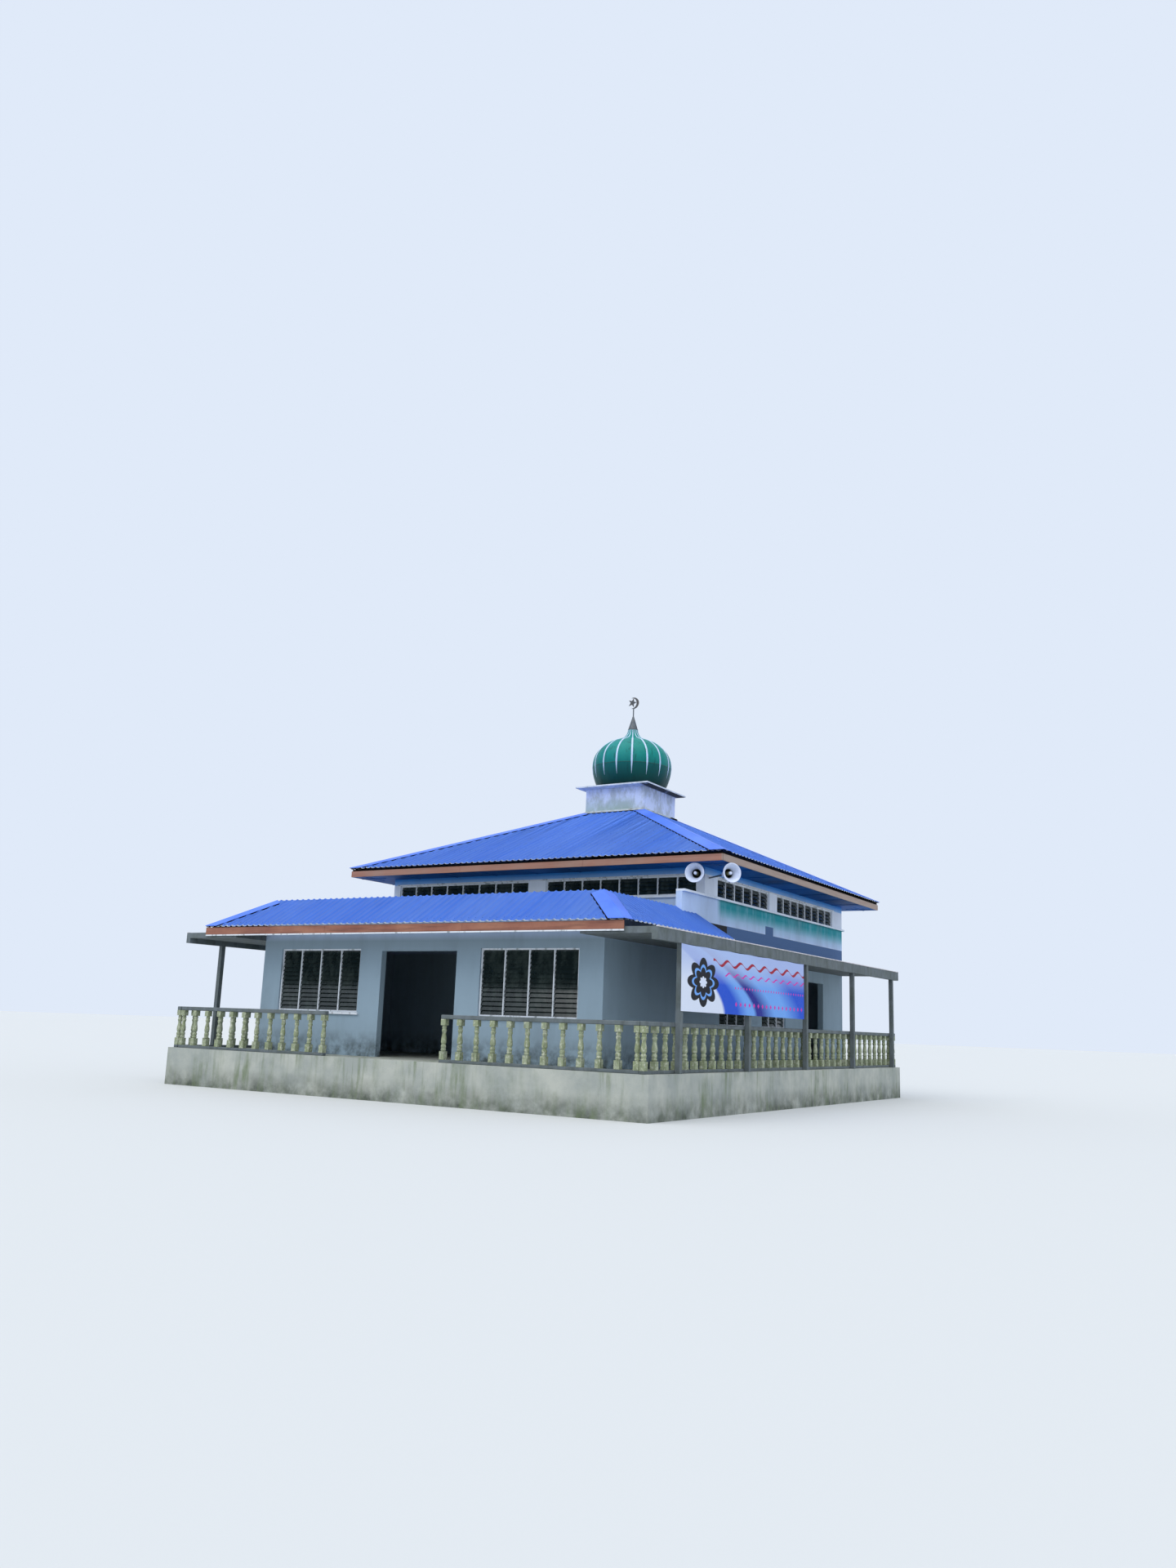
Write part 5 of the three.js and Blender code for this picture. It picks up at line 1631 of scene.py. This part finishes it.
def lozenges(tree, axes, level, pitch, size):
    """A row of lozenges at a level of the print."""
    along = add_node(tree, "ShaderNodeMath", {0: axes["X"], 1: pitch / 2}, operation="PINGPONG").outputs[0]
    away = add_node(tree, "ShaderNodeMath", {0: axes["Y"], 1: level}, operation="SUBTRACT").outputs[0]
    away = add_node(tree, "ShaderNodeMath", {0: away}, operation="ABSOLUTE").outputs[0]
    reach = add_node(tree, "ShaderNodeMath", {0: along, 1: away}, operation="ADD").outputs[0]
    return add_node(tree, "ShaderNodeMath", {0: reach, 1: size}, operation="LESS_THAN").outputs[0]


def ribbon(tree, axes, level, length, swing, half):
    """A wavy ribbon that runs along the print, thick and thin by turns."""
    turns = {0: axes["X"], 1: 2 * math.pi / length}
    turns = add_node(tree, "ShaderNodeMath", turns, operation="MULTIPLY").outputs[0]
    wave = add_node(tree, "ShaderNodeMath", {0: turns}, operation="SINE").outputs[0]
    middle = {0: wave, 1: swing, 2: level}
    middle = add_node(tree, "ShaderNodeMath", middle, operation="MULTIPLY_ADD").outputs[0]
    away = add_node(tree, "ShaderNodeMath", {0: axes["Y"], 1: middle}, operation="SUBTRACT").outputs[0]
    away = add_node(tree, "ShaderNodeMath", {0: away}, operation="ABSOLUTE").outputs[0]
    thick = add_node(tree, "ShaderNodeMath", {0: turns}, operation="COSINE").outputs[0]
    thick = {0: thick, 1: half * RIBBON_SWELL, 2: half}
    thick = add_node(tree, "ShaderNodeMath", thick, operation="MULTIPLY_ADD").outputs[0]
    return add_node(tree, "ShaderNodeMath", {0: away, 1: thick}, operation="LESS_THAN").outputs[0]


def rosette(tree, axes, size):
    """A flower of petals about the rosette's middle, wider than it is high."""
    across = {0: axes["X"], 1: ROSETTE_SQUASH, 2: -ROSETTE_AT[0] * ROSETTE_SQUASH}
    across = add_node(tree, "ShaderNodeMath", across, operation="MULTIPLY_ADD").outputs[0]
    up = add_node(tree, "ShaderNodeMath", {0: axes["Y"], 1: ROSETTE_AT[1]}, operation="SUBTRACT").outputs[0]
    angle = add_node(tree, "ShaderNodeMath", {0: up, 1: across}, operation="ARCTAN2").outputs[0]
    angle = add_node(tree, "ShaderNodeMath", {0: angle, 1: PETALS / 2}, operation="MULTIPLY").outputs[0]
    lobes = add_node(tree, "ShaderNodeMath", {0: angle}, operation="COSINE").outputs[0]
    lobes = add_node(tree, "ShaderNodeMath", {0: lobes}, operation="ABSOLUTE").outputs[0]
    edge = {0: lobes, 1: size * PETAL_DEPTH, 2: size * (1 - PETAL_DEPTH)}
    edge = add_node(tree, "ShaderNodeMath", edge, operation="MULTIPLY_ADD").outputs[0]
    spot = add_node(tree, "ShaderNodeCombineXYZ", {0: across, 1: up}).outputs[0]
    away = add_node(tree, "ShaderNodeVectorMath", {0: spot}, operation="LENGTH").outputs["Value"]
    return add_node(tree, "ShaderNodeMath", {0: away, 1: edge}, operation="LESS_THAN").outputs[0]


# Solvent ink on vinyl: strong flat colours with a weak shine, over the faint weave of the cloth.
vinyl, tree, shader, _ = new_material("printed_vinyl_cloth", roughness=0.55)
shader.inputs["Specular IOR Level"].default_value = 0.2
on_print = add_node(tree, "ShaderNodeUVMap", uv_map="print").outputs[0]
axes = add_node(tree, "ShaderNodeSeparateXYZ", {0: on_print}).outputs
inks = [(sweep(tree, axes, *line), ink) for *line, ink in SWEEPS]
inks.append((along_axis(tree, on_print, "Y", MIST_FOOT, MIST_HEAD, most=0.85), PRINT_MIST))
inks += [(rosette(tree, axes, size), ink) for size, ink in ROSETTE_RINGS]
inks += [(beyond(tree, axes, start, ribbon(tree, axes, *wave)), ink) for start, *wave, ink in RIBBONS]
inks += [(beyond(tree, axes, start, lozenges(tree, axes, *row)), PRINT_PINK) for start, *row in LOZENGE_ROWS]
coats(tree, shader, PRINT_WHITE, *inks)
# The threads are drawn 2.6 mm apart, coarser than real ones, which would be too fine to show. The
# wave turns by 20 radians in a metre at scale 1.
weave = {"Vector": on_print, "Scale": 2 * math.pi / WAVE_TURN * 1000 / THREAD_MM}
weave = add_node(tree, "ShaderNodeTexWave", weave, bands_direction="Y").outputs[1]
bump = add_node(tree, "ShaderNodeBump", {"Height": weave, "Distance": THREAD_DEPTH_MM / 1000})
tree.links.new(bump.outputs[0], shader.inputs["Normal"])

cloth = bmesh.new()
uv = cloth.loops.layers.uv.new("print")
grid = []
for i in range(BANNER_COLUMNS + 1):
    column = []
    along = banner_length * i / BANNER_COLUMNS
    for j in range(BANNER_ROWS + 1):
        down = j / BANNER_ROWS
        slack = math.sin(math.pi * ((along / HELD_EVERY) % 1.0))
        seed = Vector((along * RIPPLE_STRETCH[0], down * RIPPLE_STRETCH[1], RIPPLE_SEED))
        ripple = 0.5 + 0.5 * noise.noise(seed)
        out = RIPPLE * (ripple * down + SLACK_SHARE * slack * (1 - down)) + CLOTH_GAP
        drop = SLACK_DROP * slack * (1 - down) ** 2
        level = banner_high.z - drop - down * banner_height
        column.append(cloth.verts.new((banner_high.x - CLOTH_BEHIND + out, banner_low.y + along, level)))
    grid.append(column)
for i in range(BANNER_COLUMNS):
    for j in range(BANNER_ROWS):
        face = cloth.faces.new((grid[i][j], grid[i][j + 1], grid[i + 1][j + 1], grid[i + 1][j]))
        spots = ((i, j), (i, j + 1), (i + 1, j + 1), (i + 1, j))
        for loop, (a, b) in zip(face.loops, spots):
            along = banner_length * a / BANNER_COLUMNS
            loop[uv].uv = along, banner_height * (1 - b / BANNER_ROWS)
banner = finished("hung_banner", cloth, vinyl, "banner", "banner", smooth=True)
